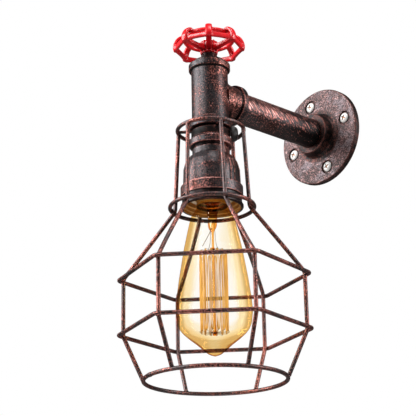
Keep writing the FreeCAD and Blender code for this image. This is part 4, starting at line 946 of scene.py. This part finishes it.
def make_holder_belt():
    """The belt and the skirt below it, open at the mouth."""
    skirt = [(22.9, BELT, 0), (26.2, BELT, 0.8), (26.2, BELT + 9, 0.8), (24.9, BELT + 9, 0.3),
             (25.1, MOUTH - 2.9, 0.8), (26.3, MOUTH - 2.1, 0.6), (26.3, MOUTH, 0.9), (23.9, MOUTH, 0.5),
             (23.9, MOUTH - 2.4, 0.4), (22.7, MOUTH - 2.6, 0.4), (22.6, MOUTH - 5.6, 0.5),
             (21.2, MOUTH - 5.8, 0.5), (21.2, BELT + 4, 0.5), (22.0, BELT + 2, 0), (22.9, BELT + 2, 0)]
    belt = piece("holder_belt", [turned_solid(skirt, DOWN, 200, 0.5)], BAND_IRON, replaces=["holder_skirt"])

    def painted_shade_and_glow(x, y, z):
        """Painted shade, 1 on the outside below the belt, and painted glow of the bulb's amber light, -1 on
        the inner wall of the mouth.
        """
        r = np.hypot(x, y + LAMP_OUT)
        return np.where(r < 24.2, -1.0, step_up(-z, BELT + 8.9, BELT + 9.6))

    # Painted shade below the belt and painted glow inside the mouth.
    mark_shade(belt.data, painted_shade_and_glow)


# ---------------------------------------------------------------- cage

WIRE, CAGE_TURN = 1.7, 42.3
TOP_R, TOP_DOWN, NECK_R, NECK_DOWN = 28.1, 30.8, 31.4, 100.9
WIDE_R, UPPER_DOWN, LOWER_DOWN, LOW_R, LOW_DOWN = 74.3, 158.5, 206.5, 57.5, 244.8
HEX_ARC = 6.0
HEX_R = WIDE_R + 2 * WIRE + 0.04 + HEX_ARC * (1 / math.cos(math.radians(30)) - 1)
TWIST_TOP, TWIST_NECK = 7.5, 5.0


def hoop(radius, down, seam_at):
    """A round ring of wire, with a slightly swollen butt weld where its ends meet."""
    a = np.arange(300) * TURN / 300
    line = np.stack([radius * np.cos(a), radius * np.sin(a) - LAMP_OUT, np.full(300, -down)], -1)
    away = np.abs((a - math.radians(seam_at) + math.pi) % TURN - math.pi) * radius
    return tube(line, WIRE + 0.28 * np.exp(-((away / 1.6) ** 2)), (0, 0, 1), 20, closed=True), True, True


def hexagon_wire(down):
    """Wire bent to a hexagon with arcs at its corners."""
    corners = [(HEX_R * math.cos(TURN * i / 6), HEX_R * math.sin(TURN * i / 6), HEX_ARC) for i in range(6)]
    flat = finely(rounded(corners, step=6), 2.0)
    line = np.column_stack([flat[:, 0], flat[:, 1] - LAMP_OUT, np.full(len(flat), -down)])
    return tube(turned_about(line, CAGE_TURN), WIRE, (0, 0, 1), 20, closed=True), True, True


def twist(down):
    """Degrees by which the cage's upper part is turned back against its hexagons."""
    return np.interp(down, (TOP_DOWN, NECK_DOWN, UPPER_DOWN), (TWIST_TOP, TWIST_NECK, 0.0))


def upright_wire(turn):
    """One bent upright: straight runs with arcs of 8 mm, ends closed, its direction eased by the twist."""
    flat = rounded([(TOP_R, TOP_DOWN + 0.6, 0), (NECK_R, NECK_DOWN, 8), (WIDE_R, UPPER_DOWN, 8),
                    (WIDE_R, LOWER_DOWN, 8), (LOW_R + 0.7, LOW_DOWN - 1.6, 0)], closed=False, step=5)
    flat = finely(flat, 2.0, closed=False)
    a = np.radians(turn - twist(flat[:, 1]))
    line = np.stack([flat[:, 0] * np.cos(a), flat[:, 0] * np.sin(a) - LAMP_OUT, -flat[:, 1]], -1)
    return capped(tube(line, WIRE, np.stack([-np.sin(a), np.cos(a), 0 * a], -1), 20))


def weld(radius, down, turn, wide, high):
    """A small weld bead: a ball drawn out along the joint, with a rippled skin."""
    u, v = np.linspace(0, math.pi, 12)[:, None], np.arange(18)[None] * TURN / 18
    size = 1 + 0.10 * np.sin(3 * v + 2 * u + turn)
    x, y, z = 1.5 * np.sin(u) * np.cos(v) * size, wide * np.sin(u) * np.sin(v) * size, high * np.cos(u) * size
    return turned_about(np.stack([radius + x, y - LAMP_OUT, z - down], -1), turn)


def make_cage():
    """Three hoops and two hexagons, each with a bead at every upright, and the six uprights."""
    turns = [CAGE_TURN + 60 * i for i in range(6)]
    neck, side = NECK_R + 2 * WIRE + 0.25, NECK_DOWN - 1.1
    wires = (
        ("cage_top_hoop", "cage_top_ring", hoop(TOP_R, TOP_DOWN, 80),
         (TOP_R, TOP_DOWN + 1.7, TWIST_TOP, 2.0, 0.9)),
        ("cage_neck_hoop", "cage_neck_ring", hoop(neck, side, 200),
         (neck - 1.75, side, TWIST_NECK, 1.7, 1.6)),
        ("cage_low_hoop", "cage_bottom_ring", hoop(LOW_R, LOW_DOWN, 255),
         (LOW_R + 0.5, LOW_DOWN - 1.5, 0, 2.0, 1.2)),
        ("cage_shoulder_hexagon", "cage_upper_hexagon", hexagon_wire(UPPER_DOWN + 1),
         (WIDE_R + WIRE, UPPER_DOWN + 1, 0, 1.5, 1.9)),
        ("cage_waist_hexagon", "cage_lower_hexagon", hexagon_wire(LOWER_DOWN - 1),
         (WIDE_R + WIRE, LOWER_DOWN - 1, 0, 1.5, 1.9)),
    )
    for name, node, wire, (radius, down, turned_back, wide, high) in wires:
        beads = [weld(radius, down, turn - turned_back, wide, high) for turn in turns]
        piece(name, [wire, *beads], CAGE_PAINT, replaces=[node])
    for i, turn in enumerate(turns, 1):
        piece(f"cage_wire_{i}", [upright_wire(turn)], CAGE_PAINT, replaces=[f"cage_upright_{i}"])


def make_spider():
    """Disc on the nipple with three flat arms that reach the top ring."""
    line = np.column_stack([np.linspace(4, TOP_R - 1.1, 24), np.zeros(24), np.zeros(24)])
    arm = capped(sweep_plate(line, 2.4, 0.6, (0, 0, 1), power=7)) + [0, -LAMP_OUT, 1.0 - SPIDER]
    arms = [turned_about(arm, CAGE_TURN + 180 + 120 * i) for i in range(3)]
    edge = [(NIPPLE_HOLE, REACH, 0), (12, REACH, 0.2), (12, SPIDER, 0.3), (NIPPLE_HOLE, SPIDER, 0)]
    disc = turned_solid(edge, DOWN, 96, 1.0)
    piece("cage_bracket", [disc, *arms], DARK_IRON, replaces=["cage_spider"])


# ---------------------------------------------------------------- bulb

GLASS_LINE = [
    (12.7, 94.0), (12.7, 100.5), (18.2, 109.0), (20.6, 119.5), (24.2, 136.6), (28.4, 162.1), (30.5, 177.9),
    (31.4, 188.4), (30.2, 198.1), (28.3, 202.9), (25.7, 206.2), (20.7, 210.7), (14.9, 215.3), (10.1, 219.6),
    (5.4, 223.8), (0.0, 225.7),
]
WALL, INNER_END, MIDDLE_DOWN = 0.8, 224.6, 165


def make_bulb_glass():
    """Blown glass: the outline's stations with arcs at the corners, doubled by the wall's thickness
    along its normal. The attribute "inside" is 1 on the faces that look at the bulb's middle."""
    outer = along(rounded([(r, down, 9.0) for r, down in GLASS_LINE], closed=False, step=3), 150)
    way = np.gradient(outer, axis=0)
    normal = np.column_stack([-way[:, 1], way[:, 0]]) / np.linalg.norm(way, axis=1)[:, None]
    inner = outer + normal * WALL
    inner[:, 0] = np.maximum(inner[:, 0], 0)
    inner[:, 1] = np.minimum(inner[:, 1], INNER_END)
    outer[-1, 0] = inner[-1, 0] = 0
    profile = np.vstack([outer[::-1], inner])
    bulb = piece("glass_bulb", [(spun(profile, DOWN, 128), True, False)], AMBER, replaces=["bulb_glass"])
    mesh, count = bulb.data, len(bulb.data.vertices)
    place, normal = np.empty(count * 3), np.empty(count * 3)
    mesh.vertices.foreach_get("co", place)
    mesh.vertices.foreach_get("normal", normal)
    away = place.reshape(-1, 3) - np.array([0, -LAMP_OUT, -MIDDLE_DOWN]) * MM
    facing = (away * normal.reshape(-1, 3)).sum(1)
    mesh.attributes.new("inside", "FLOAT", "POINT").data.foreach_set("value", (facing < 0).astype(np.float32))


def make_screw_cap():
    """The bulb's cap: radius = 13.1 - a wave of pitch 3.63 that climbs once in each turn."""
    sides, first, last, pitch = 120, 80.2, 97.2, 3.63
    z = np.linspace(first, last, 130)
    a = np.arange(sides) * TURN / sides
    wave = 0.5 + 0.5 * np.cos(TURN * (z[None] / pitch - a[:, None] / TURN))
    fade = step_up(z, first, first + 1.8) * step_up(-z, -last, 1.7 - last)
    thread_r = 13.1 - wave * fade[None]
    top = np.array([(10.5, 78.5), (12.1, 78.6), (12.9, 79.2)])
    rim = np.array([(13.0, 98.0), (13.1, 99.0), (12.75, 99.0), (12.7, 97.6)])
    radius = np.hstack([np.repeat(top[None, :, 0], sides, 0), thread_r, np.repeat(rim[None, :, 0], sides, 0),
                        thread_r[:, ::-1] - 0.4, np.full((sides, 2), (12.3, 10.5))])
    down = np.concatenate([top[:, 1], z, rim[:, 1], z[::-1], [79.6, 79.0]])
    grid = np.stack([radius * np.cos(a)[:, None], radius * np.sin(a)[:, None] - LAMP_OUT,
                     -np.repeat(down[None], sides, 0)], -1)
    piece("screw_cap", [(grid, True, True)], BRASS, replaces=["bulb_cap"])


def make_stem():
    """The stem inside the bulb: a flared tube that narrows to a flat pinch, and a thin rod with a knob
    at each row of hooks."""
    line = [(0.0, 95.0), (11.6, 95.2), (11.2, 97.4), (6.4, 101.0), (4.2, 105.5), (3.9, 113.0), (3.2, 117.5),
            (1.4, 120.5), (1.0, 123.0), (1.0, 136.6), (1.9, 137.4), (1.9, 138.8), (1.0, 139.6), (1.0, 203.8),
            (1.9, 204.8), (1.9, 206.6), (0.9, 207.3), (0.0, 207.5)]
    profile = along(smooth_line(line, 500), 170)
    profile[0, 0] = profile[-1, 0] = 0
    profile[:, 0] = np.maximum(profile[:, 0], 0)
    grid = spun(profile, DOWN, 48)
    flat = step_up(-grid[..., 2], 108, 114) * step_up(grid[..., 2], -122, -119)
    grid[..., 0] *= 1 + 0.35 * flat
    grid[..., 1] = (grid[..., 1] + LAMP_OUT) * (1 - 0.45 * flat) - LAMP_OUT
    piece("glass_stem", [(grid, True, False)], STEM_GLASS, replaces=["bulb_stem"])


STRANDS, STRAND_R, HOOKS_TOP, HOOKS_LOW = 14, 11.4, 138.0, 206.0


def thin_wire(line, radius, turn):
    """A thin capped wire along a line whose points are (radius, aside, -depth), turned about the lamp."""
    return turned_about(capped(tube(line, radius, (0, 1, 0), 8)) + [0, -LAMP_OUT, 0], turn)


def make_filament():
    """Hooks as thin wires that end in an open eye, four strands that sag a little between the hooks of
    each pair, two leads at the rod's top and one stray wire."""
    hooks, strands = [], []
    for i in range(STRANDS):
        turn = math.degrees(TURN * (i + 1) / STRANDS)
        for down, sign in ((HOOKS_TOP, 1), (HOOKS_LOW, -1)):
            line = smooth_line([(0.9, 0, 0), (4, 0, sign * 0.4), (9.4, 0, sign * 0.3), (STRAND_R, 0, 0.0),
                                (STRAND_R + 0.55, 0, -sign * 0.55), (STRAND_R + 0.2, 0, -sign * 1.0)], 26)
            hooks.append(thin_wire(line - [0, 0, down], 0.17, turn))
        t = np.linspace(0, 1, 40)
        for side in (-1.5, -0.5, 0.6, 1.7):
            bow = 0.5 * np.sin(math.pi * t) * rng.uniform(-1, 1)
            line = np.column_stack([STRAND_R - 0.25 + bow, side * (0.25 + 0.75 * np.sin(math.pi * t) ** 0.35),
                                    -(HOOKS_TOP + 0.1 + (HOOKS_LOW - HOOKS_TOP - 0.2) * t)])
            strands.append(thin_wire(line, 0.27, turn))
    lead = smooth_line([(1.5, 0, -112), (1.9, 0.3, -122), (2.6, 0.2, -131), (5.0, 0, -136.2),
                        (11.2, 0, -137.8)], 40)
    hooks += [thin_wire(lead, 0.22, turn) for turn in (205.0, 25.7)]
    stray = smooth_line([(0.6, 0, -117), (2.0, 0, -120.5), (5.0, 0.2, -126.5), (8.6, 0, -133.0)], 24)
    hooks.append(thin_wire(stray, 0.3, 227.2))
    piece("support_hooks", hooks, HOOK_WIRE, replaces=["filament_hooks"], sharp=60,
          spread=0)
    piece("carbon_strands", strands, GLOWING_STRAND, replaces=["filament"], sharp=60,
          spread=0)


# ---------------------------------------------------------------- pieces that keep their CAD shape

KEPT = {
    "tee_bushing": DARK_IRON, "lamp_nipple": BRIGHT, "nipple_locknuts": BRIGHT, "valve_stem": STEEL,
    "wheel_washer": BRIGHT, "switch_spindle": STEEL, "socket_insulator": PORCELAIN,
    "socket_screw_shell": BRASS, "centre_contact": BRASS, "socket_terminals": BRASS,
    "bulb_cap_insulator": VITRITE, "bulb_tip_contact": SOLDER, "connector_block": NYLON, "lamp_leads": RUBBER,
}


def dress_kept_nodes():
    """Gives each CAD node that stays its finish."""
    for node, finish in KEPT.items():
        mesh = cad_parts[node].data
        mesh.materials.clear()
        mesh.materials.append(finish)


# ---------------------------------------------------------------- camera, lights and floor

CAMERA, LENS = (0.7295, -0.8209, -0.446), 109.83
AIM, TILT, ROLL = math.radians(47.246), math.radians(19.146), math.radians(-1.104)


def place_camera():
    """Camera below the lamp, to its right, at the photograph's angle."""
    forward = Vector((-math.sin(AIM) * math.cos(TILT), math.cos(AIM) * math.cos(TILT), math.sin(TILT)))
    right = forward.cross(Vector((0, 0, 1))).normalized()
    up = right.cross(forward)
    right, up = math.cos(ROLL) * right + math.sin(ROLL) * up, math.cos(ROLL) * up - math.sin(ROLL) * right
    data = bpy.data.cameras.new("camera")
    data.lens, data.sensor_width, data.clip_start, data.clip_end = LENS, 36, 0.02, 60
    camera = bpy.data.objects.new("camera", data)
    turned = Matrix((right, up, -forward)).transposed().to_4x4()
    camera.matrix_world = Matrix.Translation(CAMERA) @ turned
    bpy.context.scene.collection.objects.link(camera)
    bpy.context.scene.camera = camera
    return right, up, forward


RIGHT, ABOVE, AHEAD = place_camera()
HEART = Vector((0, -0.12, -0.09))


def soft_light(name, side, height, front, size, power, tall=None):
    """An area light placed from the lamp by distances to the camera's right, up and towards it."""
    data = bpy.data.lights.new(name, "AREA")
    data.energy, data.size = power, size
    if tall:
        data.shape, data.size_y = "RECTANGLE", tall
    light = bpy.data.objects.new(name, data)
    spot = HEART + RIGHT * side + ABOVE * height - AHEAD * front
    aimed = (HEART - spot).to_track_quat("-Z", "Y").to_matrix().to_4x4()
    light.matrix_world = Matrix.Translation(spot) @ aimed
    bpy.context.scene.collection.objects.link(light)


def light_scene():
    """Five soft lights, and a world that the camera sees white but that lights the lamp dimly."""
    soft_light("left_wall", -1.15, 0.38, -0.10, 0.62, 22, tall=1.1)
    soft_light("right_wall", 1.1, 0.42, 0.22, 0.36, 13, tall=0.8)
    soft_light("key", -0.95, 1.0, 0.40, 0.45, 13)
    soft_light("top", 0.25, 1.35, 0.1, 0.5, 9)
    soft_light("below", -0.1, -1.1, 0.6, 0.7, 3)
    world = bpy.data.worlds.new("studio")
    bpy.context.scene.world = world
    world.use_nodes = True
    tree = world.node_tree
    tree.nodes.clear()
    out = tree.nodes.new("ShaderNodeOutputWorld")
    ray = tree.nodes.new("ShaderNodeLightPath")
    mix = tree.nodes.new("ShaderNodeMixShader")
    seen, lit = (tree.nodes.new("ShaderNodeBackground") for _ in range(2))
    for background, strength in ((seen, 1.0), (lit, 0.08)):
        background.inputs["Color"].default_value = (1, 1, 1, 1)
        background.inputs["Strength"].default_value = strength
    tree.links.new(ray.outputs["Is Camera Ray"], mix.inputs[0])
    tree.links.new(lit.outputs[0], mix.inputs[1])
    tree.links.new(seen.outputs[0], mix.inputs[2])
    tree.links.new(mix.outputs[0], out.inputs[0])
    view = bpy.context.scene.view_settings
    view.view_transform, view.look, view.exposure, view.gamma = "Standard", "None", 0, 1


def lay_floor():
    """A pale round floor, 1.5 m below the pipe."""
    f = Finish("pale_floor")
    tone = f.noise(f.moved((3,) * 3), detail=2.0).above(0.3, 0.7)
    finish = f.surface(Base_Color=f.mix(tone, (0.86, 0.86, 0.85), (0.82, 0.82, 0.81)), Roughness=0.6)
    a = np.arange(96) * TURN / 96
    r, low = np.array([[0.0], [1500.0], [3000.0]]), np.full((3, 96), -1500.0)
    grid = np.stack([r * np.cos(a), r * np.sin(a) - LAMP_OUT, low], -1)
    mesh = make_mesh("floor", [grid])
    mesh.materials.append(finish)
    floor = bpy.data.objects.new("floor", mesh)
    bpy.context.scene.collection.objects.link(floor)


make_flange()
make_screws()
make_pipe()
make_tee()
make_top_fittings()
make_wheel()
make_wheel_fastening()
make_switch()
make_holder_top()
make_holder_body()
make_holder_belt()
make_cage()
make_spider()
make_bulb_glass()
make_screw_cap()
make_stem()
make_filament()
dress_kept_nodes()
light_scene()
lay_floor()
